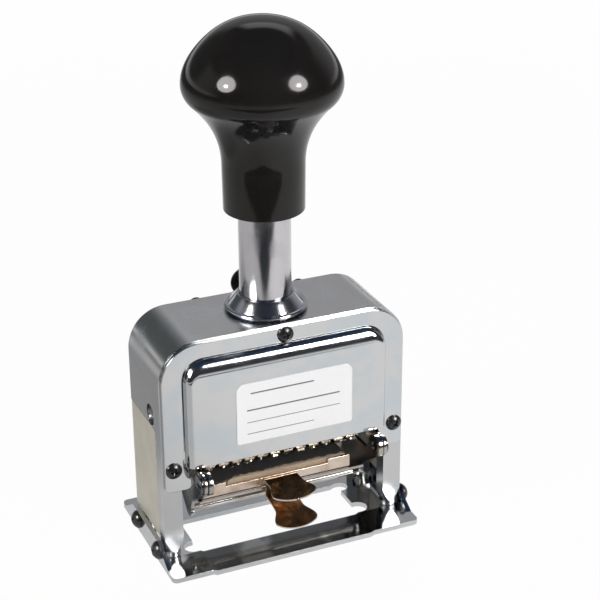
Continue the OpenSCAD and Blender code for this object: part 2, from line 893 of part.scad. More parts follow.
module plunger_tube() {
    color("silver") difference() {
        translate([0, 0, tube_bottom]) cylinder(h = tube_top - tube_bottom, r = tube_r);
        translate([0, 0, tube_bottom - join]) cylinder(h = far, r = tube_in_r);
        block(-slot_w / 2, slot_w / 2, 0, far, slot_z0, slot_z1);
    }
}

module tube_plug() {
    color("gray") translate([0, 0, tube_top - plug_h])
        cylinder(h = plug_h, r = tube_in_r - seat_clear);
}

// Side view of a carriage plate: round under the axle, square above it.
module carriage_plate_outline() {
    translate([wheel_y, wheel_z]) circle(r = plate_round_r);
    polygon([
        [plate_front, wheel_z + plate_corner], [plate_front, bridge_z + bridge_t],
        [plate_rear, bridge_z + bridge_t], [plate_rear, plate_low + plate_corner],
        [plate_rear - plate_corner, plate_low], [wheel_y + plate_round_r - plate_corner, plate_low],
        [wheel_y, wheel_z], [wheel_y - plate_round_r, wheel_z]
    ]);
}

module wheel_carriage() {
    color("darkgray") difference() {
        union() {
            both_sides() along_x(plate_in, plate_out) carriage_plate_outline();
            block(-plate_out, plate_out, plate_front, plate_rear, bridge_z, bridge_z + bridge_t);
        }
        translate([0, 0, bridge_z - join]) cylinder(h = far, r = tube_r + seat_clear);
        rod_x(-far, far, wheel_y, wheel_z, axle_r + seat_clear);
        rod_x(-far, far, pawl_y, pawl_z, pawl_r + seat_clear);
        rod_x(-far, 0, dial_y, dial_z, dial_pin_r + running_clear);
    }
}

module wheel_axle() {
    color("gray") {
        rod_x(-plate_out - axle_head_t, plate_out + axle_head_t, wheel_y, wheel_z, axle_r);
        both_sides() rod_x(plate_out, plate_out + axle_head_t, wheel_y, wheel_z, axle_head_r);
    }
}

// Comb of leaf springs that holds each wheel on its number.
module detent_comb() {
    color("goldenrod") {
        block(-plate_in, plate_in, comb_front, comb_front + comb_d, comb_low, comb_low + comb_h);
        for (i = [0 : wheel_n - 1])
            translate([wheel_left(i) + (wheel_w - leaf_w) / 2, comb_front + 2 * leaf_t, comb_low])
                rotate([leaf_slope, 0, 0]) block(0, leaf_w, -leaf_l, 0, 0, leaf_t);
    }
}

module pawl_shaft() {
    color("gray") rod_x(-plate_out, plate_out, pawl_y, pawl_z, pawl_r);
}

// Side view of one pawl finger, from its tube down to the tip behind the wheel.
module pawl_outline() {
    polygon([
        [pawl_y - pawl_back, pawl_z - pawl_r], [pawl_y - pawl_back - pawl_step, pawl_tip_z + pawl_tip_l],
        [pawl_y - 2 * pawl_r, pawl_tip_z], [pawl_y - pawl_back, pawl_tip_z + pawl_r / 2],
        [pawl_y, pawl_z - pawl_r]
    ]);
}

// Swinging frame with one pawl finger for each wheel.
module pawl_frame() {
    end_x = plate_in - 2 * plate_gap;
    color("darkgoldenrod") difference() {
        union() {
            rod_x(-end_x, end_x, pawl_y, pawl_z, pawl_tube_r);
            for (i = [0 : wheel_n - 1])
                translate([wheel_left(i) + (wheel_w - pawl_w) / 2, 0, 0])
                    along_x(0, pawl_w) pawl_outline();
        }
        rod_x(-far, far, pawl_y, pawl_z, pawl_r + running_clear);
    }
}

// Dial that sets how often a number is repeated.
module repeat_dial() {
    out = plate_out + dial_gap + dial_t;
    color("silver") difference() {
        union() {
            rod_x(-out, -out + dial_t, dial_y, dial_z, dial_r);
            rod_x(-out, -plate_in, dial_y, dial_z, dial_pin_r);
        }
        block(-far, -out + dial_slot_depth, dial_y - dial_slot_w / 2, dial_y + dial_slot_w / 2,
            dial_z - dial_slot_l / 2, dial_z + dial_slot_l / 2);
    }
}

// Left face of number wheel i, counted from 0 at the left.
function wheel_left(i) = -wheels_half_w + i * wheel_pitch + wheel_gap / 2;

module number_wheel(i) {
    x0 = wheel_left(i);
    color("burlywood") difference() {
        union() {
            rod_x(x0 + ratchet_t, x0 + wheel_w, wheel_y, wheel_z, type_root_r);
            translate([x0, wheel_y, wheel_z]) rotate([0, 90, 0])
                cylinder(h = ratchet_t, r = ratchet_r, $fn = 10);
            intersection() {
                rod_x(x0, x0 + wheel_w, wheel_y, wheel_z, wheel_r);
                translate([x0 + wheel_w - type_w - type_side, wheel_y, wheel_z])
                    for (k = [0 : figure_count - 1])
                        rotate([360 * k / figure_count, 0, 0])
                            block(0, type_w, -type_h / 2, type_h / 2, ratchet_r, wheel_r + join);
            }
        }
        rod_x(-far, far, wheel_y, wheel_z, axle_r + running_clear);
    }
}

// Side view of a pad arm: round boss at the pivot, deep plate under the pad.
module pad_arm_outline() {
    translate([pad_axis_y, pad_axis_z]) circle(r = arm_boss_r);
    translate([bar_y, bar_z]) circle(r = bar_boss_r);
    polygon([
        [pad_axis_y - 0.6 * arm_boss_r, pad_axis_z - 0.8 * arm_boss_r],
        [pad_axis_y + 0.3 * arm_boss_r, pad_axis_z + 0.94 * arm_boss_r],
        [tray_front, tray_wall_top + arm_front_rise], [tray_rear, tray_wall_top + arm_rear_rise],
        [tray_rear, tray_floor - shelf_t],
        [bar_y + 0.9 * bar_boss_r, bar_z - 0.43 * bar_boss_r],
        [bar_y - 0.9 * bar_boss_r, bar_z + 0.43 * bar_boss_r],
        [bar_y - 1.4 * bar_boss_r, bar_z + 1.8 * bar_boss_r]
    ]);
}

module pad_carriage() {
    shelf_top = tray_floor - seat_clear;
    color("silver") difference() {
        union() {
            both_sides() {
                rod_x(hub_in, hub_out, pad_axis_y, pad_axis_z, hub_r);
                along_x(arm_in, hub_out) pad_arm_outline();
            }
            block(-arm_in - eps, arm_in + eps, tray_front + shelf_setback, tray_rear,
                shelf_top - shelf_t, shelf_top);
            rod_x(-arm_in - eps, arm_in + eps, bar_y, bar_z, bar_r);
        }
        rod_x(-far, far, pad_axis_y, pad_axis_z, pivot_r + running_clear);
    }
}

// Side view of the tray, or of what fills it up to a height, drawn t inside its outer face.
module tray_side_view(t, top) {
    r = tray_edge_r - t;
    y0 = tray_front + t;
    y1 = tray_rear - t;
    z0 = tray_floor + t;
    translate([y0, z0 + r]) square([y1 - y0, top - z0 - r]);
    translate([y0 + r, z0]) square([y1 - y0 - 2 * r, r + eps]);
    for (y = [y0 + r, y1 - r])
        translate([y, z0 + r]) circle(r = r);
}

module ink_tray() {
    color("rosybrown") {
        difference() {
            along_x(tray_left, tray_right) tray_side_view(0, tray_wall_top);
            along_x(tray_left + tray_t, tray_right - tray_t) tray_side_view(tray_t, far);
        }
        for (x = [tray_left, tray_right - tray_tab_w])
            block(x, x + tray_tab_w, tray_front, tray_front + tray_t,
                tray_wall_top - tray_t, tray_wall_top + tray_tab_rise);
    }
}

module ink_pad() {
    side = tray_t + pad_gap;
    color([0.12, 0.1, 0.1]) difference() {
        along_x(tray_left + side, tray_right - side) tray_side_view(side, pad_face_z);
        block(-far, far, -far, far, 0, tray_floor + side);
    }
}

// Half width of a clip leaf at the distance s from its root: neck, flare and round tip.
function leaf_half(s, len, neck_w, wide_w, neck_l) =
    let (wide_l = len - leaf_tip_l)
    s <= neck_l ? neck_w / 2
    : s <= wide_l ? neck_w / 2 + (wide_w - neck_w) * (1 - cos(180 * (s - neck_l) / (wide_l - neck_l))) / 4
    : wide_w / 2 * sqrt(max(0, 1 - pow((s - wide_l) / leaf_tip_l, 2)));

// Distances from the root at which a leaf's outline has its points, closer together at the tip.
function leaf_stops(len, neck_l, n = 10) =
    let (wide_l = len - leaf_tip_l)
    concat([0], [for (i = [0 : n - 1]) neck_l + (wide_l - neck_l) * i / n],
        [for (i = [0 : n]) wide_l + leaf_tip_l * sin(90 * i / n)]);

// Fishtail of spring sheet, drawn flat with its root at y = 0 and its free end at -len.
module leaf_outline(len, neck_w, wide_w, neck_l) {
    stops = leaf_stops(len, neck_l);
    last = len(stops) - 1;
    polygon(concat(
        [for (s = stops) [leaf_half(s, len, neck_w, wide_w, neck_l), -s]],
        [for (i = [last - 1 : -1 : 0])
            [-leaf_half(stops[i], len, neck_w, wide_w, neck_l), -stops[i]]]
    ));
}

// Lower leaf of the clip with the root plate that holds it to the tray.
module clip_lower_lobe() {
    color("peru") translate([clip_x, 0, 0]) {
        block(-clip_root_w / 2, clip_root_w / 2, clip_root_y, tray_front - seat_clear,
            lower_root_z, clip_root_top);
        translate([0, clip_root_y + clip_t / 2, lower_root_z]) rotate([lower_slope, 0, 0])
            linear_extrude(height = clip_t)
                leaf_outline(lower_len, clip_root_w, lower_w, lower_neck_l);
    }
}

// Upper leaf of the clip, which turns about the curl at its root.
module clip_upper_lobe() {
    color("peru") translate([clip_x, upper_root_y, upper_root_z]) {
        translate([0, 0, -clip_t / 2]) linear_extrude(height = clip_t)
            leaf_outline(upper_len, upper_neck_w, upper_w, upper_neck_l);
        rod_x(-upper_neck_w / 2, upper_neck_w / 2, 0, 0, curl_r);
    }
}

// Push-in stud that holds the plunger down while the wheels are set.
module retaining_stud() {
    color("black") {
        rod_y(stud_tip_y, stud_head_y + join, 0, stud_z, stud_pin_r);
        translate([0, stud_head_y, stud_z]) rotate([-90, 0, 0]) {
            cylinder(h = stud_rim_t, r = stud_head_r);
            translate([0, 0, stud_rim_t])
                cylinder(h = stud_dome_h, r1 = stud_head_r, r2 = stud_face_r);
        }
    }
}

housing_frame();
base_plate();
base_screws();
front_cover();
rear_cover();
front_cover_screws();
rear_cover_screws();
label();
left_side_cover();
right_side_cover();
collar();
side_screws();
left_pad_bracket();
right_pad_bracket();
pad_pivot_screws();
spring_anchor();
return_spring();
knob();
plunger_tube();
tube_plug();
wheel_carriage();
wheel_axle();
detent_comb();
pawl_shaft();
pawl_frame();
repeat_dial();
number_wheel(0);  // number_wheel_01
number_wheel(1);  // number_wheel_02
number_wheel(2);  // number_wheel_03
number_wheel(3);  // number_wheel_04
number_wheel(4);  // number_wheel_05
number_wheel(5);  // number_wheel_06
number_wheel(6);  // number_wheel_07
number_wheel(7);  // number_wheel_08
number_wheel(8);  // number_wheel_09
number_wheel(9);  // number_wheel_10
number_wheel(10);  // number_wheel_11
number_wheel(11);  // number_wheel_12
pad_carriage();
ink_tray();
ink_pad();
clip_lower_lobe();
clip_upper_lobe();
retaining_stud();
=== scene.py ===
"""Dressed model of an automatic numbering machine on its fixed CAD frame.

Sizes are millimetres unless a name says otherwise and become metres where a mesh is made.
X runs to the right, the front looks towards -Y and Z is up.
"""

import logging
import math
from collections.abc import Callable, Mapping, Sequence
from dataclasses import dataclass, field
from enum import Enum

import bmesh
import bpy
from mathutils import Matrix, Vector, noise


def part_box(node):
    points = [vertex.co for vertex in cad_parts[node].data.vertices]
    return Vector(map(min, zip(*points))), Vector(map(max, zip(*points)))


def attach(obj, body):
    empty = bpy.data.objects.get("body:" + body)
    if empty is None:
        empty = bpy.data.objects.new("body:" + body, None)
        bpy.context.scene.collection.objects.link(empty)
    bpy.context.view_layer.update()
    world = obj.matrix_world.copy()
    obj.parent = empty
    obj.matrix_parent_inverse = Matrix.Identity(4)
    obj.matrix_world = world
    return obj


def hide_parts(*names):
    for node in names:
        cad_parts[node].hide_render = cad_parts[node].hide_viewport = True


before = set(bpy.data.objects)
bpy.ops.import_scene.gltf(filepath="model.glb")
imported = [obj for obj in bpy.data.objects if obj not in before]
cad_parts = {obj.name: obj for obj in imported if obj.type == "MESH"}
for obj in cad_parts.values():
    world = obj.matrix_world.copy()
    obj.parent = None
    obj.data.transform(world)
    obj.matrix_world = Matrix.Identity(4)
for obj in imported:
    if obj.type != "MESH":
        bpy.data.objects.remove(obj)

LOG = logging.getLogger("numbering_machine")
MM = 0.001
Colour = tuple[float, float, float]
Triple = tuple[float, float, float]
Span = tuple[float, float]

# Points closer than these are one, in metres: in a mesh that is read, and in one that is made.
WELD_READ = 2e-6
WELD_MADE = 5e-7
# Degrees up to which faces that meet count as one flat face.
FLAT_ANGLE = 0.4
# Radius in millimetres that stands for none on the axis of a turned form.
TINY_RADIUS = 1e-4
# Points around a large turned form.
FINE_TURN = 160
# Degrees from which an edge without rounding stays sharp, on each kind of piece.
SHARP_TURNED = 50.0
SHARP_SMALL = 40.0
SHARP_TYPE = 32.0
SHARP_FELT = 60.0
# Colour inputs and colour output of a Mix node, by number.
MIX_LOW = 6
MIX_HIGH = 7
MIX_RESULT = 2


class Slot(Enum):
    """Material slots of the record."""

    HOUSING = "chrome_housing"
    BASE = "chrome_base"
    TUBE = "chrome_tube"
    SCREW = "black_screw"
    LABEL = "label_paper"
    IVORY = "ivory_plastic"
    BLACK = "black_plastic"
    STEEL = "steel"
    BRASS = "brass"
    TRAY = "tray_metal"
    FELT = "felt"
    BRONZE = "bronze"


class Ray(Enum):
    """Kinds of light path that a material or the room can tell apart."""

    SEEN = "Is Camera Ray"
    GLOSSY = "Is Glossy Ray"
    THROUGH = "Is Transmission Ray"


class Body(Enum):
    """Bodies of the frame that pieces ride on."""

    FRAME = "frame"
    PLUNGER = "plunger"
    PAWLS = "pawls"
    DIAL = "repeat_selector"
    PAD = "pad_holder"
    CLIP = "clip"
    STUD = "stud"


# --------------------------------------------------------------------------- shader building


@dataclass(frozen=True)
class Tap:
    """Output of a shader node that takes part in Python expressions."""

    graph: "Graph"
    socket: bpy.types.NodeSocket

    def __add__(self, other: "Tap | float") -> "Tap":
        """Sum of two values."""
        return self.graph.math("ADD", self, other)

    def __sub__(self, other: "Tap | float") -> "Tap":
        """This value less another."""
        return self.graph.math("SUBTRACT", self, other)

    def __rsub__(self, other: float) -> "Tap":
        """A number less this value."""
        return self.graph.math("SUBTRACT", other, self)

    def __mul__(self, other: "Tap | float") -> "Tap":
        """Product of two values."""
        return self.graph.math("MULTIPLY", self, other)

    def __abs__(self) -> "Tap":
        """Size of this value without its sign."""
        return self.graph.math("ABSOLUTE", self)

    __radd__ = __add__
    __rmul__ = __mul__

    def rises(self, low: float, high: float) -> "Tap":
        """Soft step from 0 at low to 1 at high.

        Args:
            low: Value at which the step starts.
            high: Value at which the step is complete.

        Returns:
            The step, between 0 and 1.
        """
        sockets = {"Value": self, "From Min": low, "From Max": high}
        node = self.graph.node("ShaderNodeMapRange", {"interpolation_type": "SMOOTHSTEP"}, sockets)
        return Tap(self.graph, node.outputs["Result"])

    def within(self, low: float, high: float, soft: float) -> "Tap":
        """Soft window that is 1 between low and high and fades over soft on each side."""
        return self.rises(low - soft, low) * (1 - self.rises(high, high + soft))


Feed = "Tap | float | Sequence[float]"


def rgba(colour: Tap | Colour) -> Tap | tuple[float, float, float, float]:
    """A plain colour with full alpha, as sockets want it; a link stays as it is."""
    return colour if isinstance(colour, Tap) else (*colour, 1.0)


class Graph:
    """Node tree of a material or of the world, built from Python expressions."""

    def __init__(self, tree: bpy.types.NodeTree) -> None:
        """Start from an empty tree.

        Args:
            tree: The tree to build in.
        """
        self.tree = tree
        tree.nodes.clear()

    def node(self, kind: str, settings: Mapping[str, object] | None = None,
             sockets: Mapping[str | int, Feed] | None = None) -> bpy.types.Node:
        """Make one node.

        Args:
            kind: Type of the node.
            settings: Properties of the node, which are set first.
            sockets: Values or links of its inputs, by name or number.

        Returns:
            The new node.
        """
        made = self.tree.nodes.new(kind)
        for name, value in (settings or {}).items():
            setattr(made, name, value)
        for key, value in (sockets or {}).items():
            if isinstance(value, Tap):
                self.tree.links.new(value.socket, made.inputs[key])
            else:
                made.inputs[key].default_value = value
        return made

    def math(self, operation: str, *values: Tap | float) -> Tap:
        """Math node on one to three values."""
        made = self.node("ShaderNodeMath", {"operation": operation}, dict(enumerate(values)))
        return Tap(self, made.outputs[0])

    def clamped(self, value: Tap) -> Tap:
        """The value held between 0 and 1."""
        return Tap(self, self.node("ShaderNodeClamp", {}, {"Value": value}).outputs[0])

    def vector(self, operation: str, sockets: Mapping[str | int, Feed], output: str = "Vector") -> Tap:
        """Vector Math node."""
        made = self.node("ShaderNodeVectorMath", {"operation": operation}, sockets)
        return Tap(self, made.outputs[output])

    def mix(self, share: Tap | float, low: Tap | Colour, high: Tap | Colour) -> Tap:
        """Colour between two colours.

        Args:
            share: Share of the second colour, between 0 and 1.
            low: First colour.
            high: Second colour.

        Returns:
            The mixed colour.
        """
        settings = {"data_type": "RGBA", "clamp_factor": True}
        made = self.node("ShaderNodeMix", settings, {0: share, MIX_LOW: rgba(low), MIX_HIGH: rgba(high)})
        return Tap(self, made.outputs[MIX_RESULT])

    def place(self, stretch: Triple = (1.0, 1.0, 1.0)) -> Tap:
        """Place on the piece in millimetres, optionally scaled along each axis.

        Args:
            stretch: Factor on each axis; a small one draws a texture out along that axis.

        Returns:
            The place as a vector.
        """
        spot = Tap(self, self.node("ShaderNodeTexCoord").outputs["Object"])
        return self.vector("MULTIPLY", {0: spot, 1: tuple(s / MM for s in stretch)})

    def axes(self, place: Tap) -> tuple[Tap, Tap, Tap]:
        """The three parts of a vector."""
        made = self.node("ShaderNodeSeparateXYZ", {}, {0: place})
        return Tap(self, made.outputs[0]), Tap(self, made.outputs[1]), Tap(self, made.outputs[2])

    def cloud(self, place: Tap, size: float, detail: float = 2.0, warp: float = 0.0) -> Tap:
        """Soft noise around 0.5 with features of the given size in millimetres.

        Args:
            place: Where the noise is read.
            size: Size of its main features.
            detail: Number of finer layers.
            warp: How far the noise is bent by itself.

        Returns:
            The noise value.
        """
        sockets = {"Vector": place, "Scale": 1 / size, "Detail": detail, "Distortion": warp}
        return Tap(self, self.node("ShaderNodeTexNoise", {}, sockets).outputs["Fac"])

    def bump(self, height: Tap, depth: float, below: Tap | None = None) -> Tap:
        """Surface relief.

        Args:
            height: Height between 0 and 1.
            depth: What a height of 1 stands for, in millimetres.
            below: Relief that this one is laid on.

        Returns:
            The bent normal.
        """
        sockets: dict[str | int, Feed] = {"Strength": 1.0, "Distance": depth * MM, "Height": height}
        if below is not None:
            sockets["Normal"] = below
        return Tap(self, self.node("ShaderNodeBump", {}, sockets).outputs["Normal"])

    def ray(self, kind: Ray) -> Tap:
        """Whether the light path is of one kind, as 1 or 0."""
        return Tap(self, self.node("ShaderNodeLightPath").outputs[kind.value])

    def shader(self, kind: str, sockets: Mapping[str | int, Feed]) -> Tap:
        """Shader node of a kind such as "BsdfDiffuse"."""
        return Tap(self, self.node(f"ShaderNode{kind}", {}, sockets).outputs[0])

    def close(self, surface: Tap, owner: str = "Material") -> None:
        """End the tree of a "Material" or of the "World" with its shader."""
        self.node(f"ShaderNodeOutput{owner}", {}, {"Surface": surface})

    def surface(self, sockets: Mapping[str, Feed]) -> None:
        """Close a material with a Principled shader that has these inputs."""
        self.close(self.shader("BsdfPrincipled", sockets))


def new_material(name: str) -> tuple[bpy.types.Material, Graph]:
    """Make an empty material.

    Args:
        name: Name of the material.

    Returns:
        The material and the graph of its nodes.
    """
    made = bpy.data.materials.new(name)
    made.use_nodes = True
    return made, Graph(made.node_tree)


# --------------------------------------------------------------------------- finishes


MADE: dict[str, bpy.types.Material] = {}


@dataclass(frozen=True)
class Finish:
    """A surface finish that becomes one material."""

    name: str
    slot: Slot

    def paint(self, graph: Graph) -> None:
        """Build the shader nodes; each kind of finish has its own."""
        raise NotImplementedError(self.name)

    def material(self) -> bpy.types.Material:
        """Give the material of this finish, made on first use.

        Returns:
            The material.
        """
        if self.name not in MADE:
            MADE[self.name], graph = new_material(self.name)
            self.paint(graph)
        return MADE[self.name]


@dataclass(frozen=True)
class Plated(Finish):
    """Plated metal with cloudy tint, uneven gloss, faint waviness and fine rubbing marks."""

    colour: Colour
    tint: Colour
    tint_share: float = 0.35
    cloud_size: float = 16.0
    haze: Span = (0.38, 0.68)
    specks: Span = (0.5, 0.75)
    speck_ratio: float = 9.0
    speck_share: float = 0.35
    roughness: float = 0.15
    spread: float = 0.05
    rub_share: float = 0.8
    wave: float = 0.012
    wave_size: float = 11.0
    grain: float = 0.0
    grain_size: float = 0.25
    stretch: Triple = (1.0, 1.0, 1.0)

    def paint(self, graph: Graph) -> None:
        """Build the shader nodes of the plated metal.

        Args:
            graph: Graph of the material.
        """
        place = graph.place()
        haze = graph.cloud(place, self.cloud_size, detail=3.0, warp=0.6).rises(*self.haze)
        speck = graph.cloud(place, self.cloud_size / self.speck_ratio, detail=3.0).rises(*self.specks)
        colour = graph.mix(haze * self.tint_share, self.colour, self.tint)
        colour = graph.mix(speck * (self.tint_share * self.speck_share), colour, self.tint)
        rubbed = graph.cloud(graph.place(self.stretch), self.grain_size)
        gloss = self.roughness + (haze - 0.5) * self.spread
        gloss = gloss + (rubbed - 0.5) * (self.spread * self.rub_share)
        relief = graph.bump(graph.cloud(place, self.wave_size, detail=1.0), self.wave)
        if self.grain:
            relief = graph.bump(rubbed, self.grain, relief)
        graph.surface({"Base Color": self.stained(graph, place, colour), "Metallic": 1.0,
                       "Roughness": gloss, "Normal": relief})

    def stained(self, graph: Graph, place: Tap, colour: Tap) -> Tap:
        """Colour with the painted dark reflection of this finish; plain plating has none."""
        return colour


@dataclass(frozen=True)
class InkedPlate(Plated):
    """Plated sheet whose front rail top carries a painted dark reflection of the machine's interior, in
    patches.
    """

    # Painted dark reflection of the machine's interior, laid in patches on the front rail top.
    film: Colour = (0.10, 0.105, 0.11)
    film_least: float = 0.5
    film_patchy: float = 0.45
    rail_half: float = 30.0
    rail_ends: float = 2.5
    rail: Span = (-22.85, -12.4)
    rail_edges: float = 0.12
    blotch: float = 9.0
    blotches: Span = (0.36, 0.5)
    blotch_stretch: Triple = (1.0, 0.35, 1.0)

    def stained(self, graph: Graph, place: Tap, colour: Tap) -> Tap:
        """Paint the dark reflection of the machine's interior on the top of the front rail.

        Args:
            graph: Graph of the material.
            place: Place on the piece.
            colour: Colour of the bare plating.

        Returns:
            The colour with the painted dark reflection.
        """
        x, y, _ = graph.axes(place)
        patchy = graph.cloud(graph.place(self.blotch_stretch), self.blotch, warp=0.5).rises(*self.blotches)
        where = x.within(-self.rail_half, self.rail_half, self.rail_ends)
        where = where * y.within(*self.rail, self.rail_edges)
        # Painted dark reflection mixed over the plating on the rail.
        return graph.mix(where * (patchy * self.film_patchy + self.film_least), colour, self.film)


@dataclass(frozen=True)
class Moulded(Finish):
    """Moulded plastic with a little mottle, orange-peel gloss and fine dust marks."""

    colour: Colour
    worn: Colour
    mottle_size: float = 9.0
    mottle: Span = (0.35, 0.7)
    mottle_share: float = 0.5
    dust_size: float = 0.5
    dust: Span = (0.62, 0.8)
    dust_share: float = 0.3
    dust_dulling: float = 0.6
    roughness: float = 0.3
    spread: float = 0.05
    peel: float = 0.002
    peel_size: float = 1.2
    index: float = 1.5

    def paint(self, graph: Graph) -> None:
        """Build the shader nodes of the plastic.

        Args:
            graph: Graph of the material.
        """
        place = graph.place()
        mottle = graph.cloud(place, self.mottle_size, detail=4.0, warp=0.4).rises(*self.mottle)
        dust = graph.cloud(place, self.dust_size).rises(*self.dust)
        colour = graph.mix(mottle * self.mottle_share + dust * self.dust_share, self.colour, self.worn)
        gloss = self.roughness + (mottle - 0.5) * self.spread + dust * (self.spread * self.dust_dulling)
        relief = graph.bump(graph.cloud(place, self.peel_size), self.peel)
        graph.surface({"Base Color": colour, "Roughness": gloss, "IOR": self.index, "Normal": relief})


@dataclass(frozen=True)
class Paper(Finish):
    """White printed label film with a few ruled lines and a thin dark edge line, partly its cut edge and
    partly a painted contact shadow.
    """

    colour: Colour
    ink: Colour
    centre: Span
    half: Span
    rules: tuple[tuple[float, float, float, float], ...]
    rule_soft: float = 0.05
    ink_share: float = 0.94
    fibre_size: float = 0.35
    fibre_depth: float = 0.003
    fibre_share: float = 0.10
    fibre_colour: Colour = (0.80, 0.79, 0.76)
    # Dark line along the edge: partly the cut edge, partly a painted contact shadow.
    cut_inset: Span = (0.3, 0.02)
    cut_share: float = 0.55
    cut_colour: Colour = (0.30, 0.31, 0.33)
    roughness: float = 0.42
    ink_gloss: float = 0.12

    def paint(self, graph: Graph) -> None:
        """Build the shader nodes of the label.

        Args:
            graph: Graph of the material.
        """
        place = graph.place()
        x, _, z = graph.axes(place)
        ink: Tap | float = 0.0
        for left, right, height, thick in self.rules:
            along = x.within(left, right, self.rule_soft)
            ink = along * z.within(height - thick / 2, height + thick / 2, self.rule_soft) + ink
        # Mask of the dark edge line, which is partly a painted contact shadow.
        sides = [abs(axis - middle).rises(half - self.cut_inset[0], half - self.cut_inset[1])
                 for axis, middle, half in zip((x, z), self.centre, self.half)]
        fibre = graph.cloud(place, self.fibre_size, detail=3.0)
        colour = graph.mix(fibre * self.fibre_share, self.colour, self.fibre_colour)
        colour = graph.mix(graph.math("MAXIMUM", *sides) * self.cut_share, colour, self.cut_colour)
        colour = graph.mix(ink * self.ink_share, colour, self.ink)
        gloss = self.roughness - ink * self.ink_gloss
        relief = graph.bump(fibre, self.fibre_depth)
        graph.surface({"Base Color": colour, "Roughness": gloss, "Normal": relief})


@dataclass(frozen=True)
class Felt(Finish):
    """Felt soaked with ink from the rear, with a ragged edge to dry tan wool at the front."""

    ink: Colour
    wool: Colour
    line: float
    soaked_end: Span = (-23.0, -14.0)
    rag: float = 1.5
    rag_size: float = 1.5
    line_soft: float = 0.15
    hair_size: float = 0.16
    hair_depth: float = 0.09
    hair_stretch: Triple = (0.25, 1.0, 1.0)
    wool_hairs: Span = (0.3, 0.75)
    wool_shade: float = 0.6
    ink_hairs: Span = (0.5, 0.8)
    ink_gain: float = 3.0
    ink_lift: float = 0.006
    roughness: float = 0.95
    wet_gloss: float = 0.42
    sheen: float = 0.15

    def paint(self, graph: Graph) -> None:
        """Build the shader nodes of the felt.

        Args:
            graph: Graph of the material.
        """
        place = graph.place()
        x, y, _ = graph.axes(place)
        creep = (graph.cloud(place, self.rag_size, detail=4.0, warp=1.0) - 0.5) * (2 * self.rag)
        end = (1 - x.rises(*self.soaked_end)) * (2 * self.rag)
        wet = (y + creep + end).rises(self.line - self.line_soft, self.line + self.line_soft)
        hair = graph.cloud(graph.place(self.hair_stretch), self.hair_size, detail=3.0, warp=1.2)
        dark_wool = tuple(c * self.wool_shade for c in self.wool)
        wool = graph.mix(hair.rises(*self.wool_hairs), self.wool, dark_wool)
        pale_ink = tuple(c * self.ink_gain + self.ink_lift for c in self.ink)
        ink = graph.mix(hair.rises(*self.ink_hairs), self.ink, pale_ink)
        gloss = self.roughness - wet * self.wet_gloss
        graph.surface({"Base Color": graph.mix(wet, wool, ink), "Roughness": gloss,
                       "Normal": graph.bump(hair, self.hair_depth), "Sheen Weight": self.sheen})


@dataclass(frozen=True)
class HeatTinted(Finish):
    """Spring sheet browned by heat, with golden clouds, darker blotches and fine streaks."""

    colour: Colour
    gold: Colour
    dark: Colour
    gold_size: float = 5.0
    gold_clouds: Span = (0.42, 0.7)
    blotch_size: float = 3.1
    blotches: Span = (0.5, 0.78)
    blotch_share: float = 0.8
    streak_size: float = 0.35
    streak_depth: float = 0.006
    streak_gloss: float = 0.16
    streak_stretch: Triple = (1.0, 0.12, 0.12)
    roughness: float = 0.24

    def paint(self, graph: Graph) -> None:
        """Build the shader nodes of the spring sheet.

        Args:
            graph: Graph of the material.
        """
        place = graph.place()
        gold = graph.cloud(place, self.gold_size, detail=3.0, warp=0.8).rises(*self.gold_clouds)
        blotch = graph.cloud(place, self.blotch_size, detail=3.0).rises(*self.blotches)
        colour = graph.mix(gold, self.colour, self.gold)
        colour = graph.mix(blotch * self.blotch_share, colour, self.dark)
        streak = graph.cloud(graph.place(self.streak_stretch), self.streak_size, detail=3.0)
        gloss = self.roughness + (streak - 0.5) * self.streak_gloss
        relief = graph.bump(streak, self.streak_depth)
        graph.surface({"Base Color": colour, "Metallic": 1.0, "Roughness": gloss, "Normal": relief})


COVER_CHROME = Plated("cover_chrome", Slot.HOUSING, (0.64, 0.645, 0.645), (0.54, 0.61, 0.665),
                      tint_share=0.6, cloud_size=11.0, roughness=0.11, spread=0.07, wave=0.012)
HOUSING_SATIN = Plated("housing_satin_plate", Slot.HOUSING, (0.575, 0.575, 0.58), (0.49, 0.525, 0.56),
                       tint_share=0.5, cloud_size=15.0, roughness=0.25, spread=0.08, wave=0.02,
                       grain=0.0012)
# The base plate's front rail carries a painted dark reflection of the machine's interior.
BASE_CHROME = InkedPlate("base_chrome", Slot.BASE, (0.62, 0.625, 0.63), (0.52, 0.57, 0.62),
                         tint_share=0.5, cloud_size=12.0, roughness=0.1, spread=0.05, wave=0.01)
COLLAR_CHROME = Plated("collar_chrome", Slot.TUBE, (0.52, 0.53, 0.55), (0.42, 0.47, 0.55),
                       tint_share=0.5, cloud_size=6.0, roughness=0.15, spread=0.06, wave=0.004)
TUBE_BRUSHED = Plated("tube_brushed_chrome", Slot.TUBE, (0.60, 0.59, 0.605), (0.52, 0.51, 0.54),
                      tint_share=0.4, cloud_size=7.0, roughness=0.15, spread=0.08, wave=0.006,
                      grain=0.0012, grain_size=0.3, stretch=(1.0, 1.0, 0.06))
MACHINED_STEEL = Plated("machined_steel", Slot.STEEL, (0.42, 0.42, 0.43), (0.30, 0.29, 0.28),
                        tint_share=0.5, cloud_size=5.0, roughness=0.3, spread=0.12, wave=0.005,
                        grain=0.002, stretch=(0.15, 1.0, 1.0))
SPRING_WIRE = Plated("spring_wire", Slot.STEEL, (0.33, 0.33, 0.34), (0.20, 0.19, 0.19),
                     tint_share=0.5, cloud_size=3.0, roughness=0.28, spread=0.1, wave=0.002)
TYPE_BRASS = Plated("type_brass", Slot.BRASS, (0.50, 0.44, 0.35), (0.13, 0.11, 0.085),
                    tint_share=0.9, cloud_size=2.6, roughness=0.3, spread=0.14, wave=0.004,
                    grain=0.003)
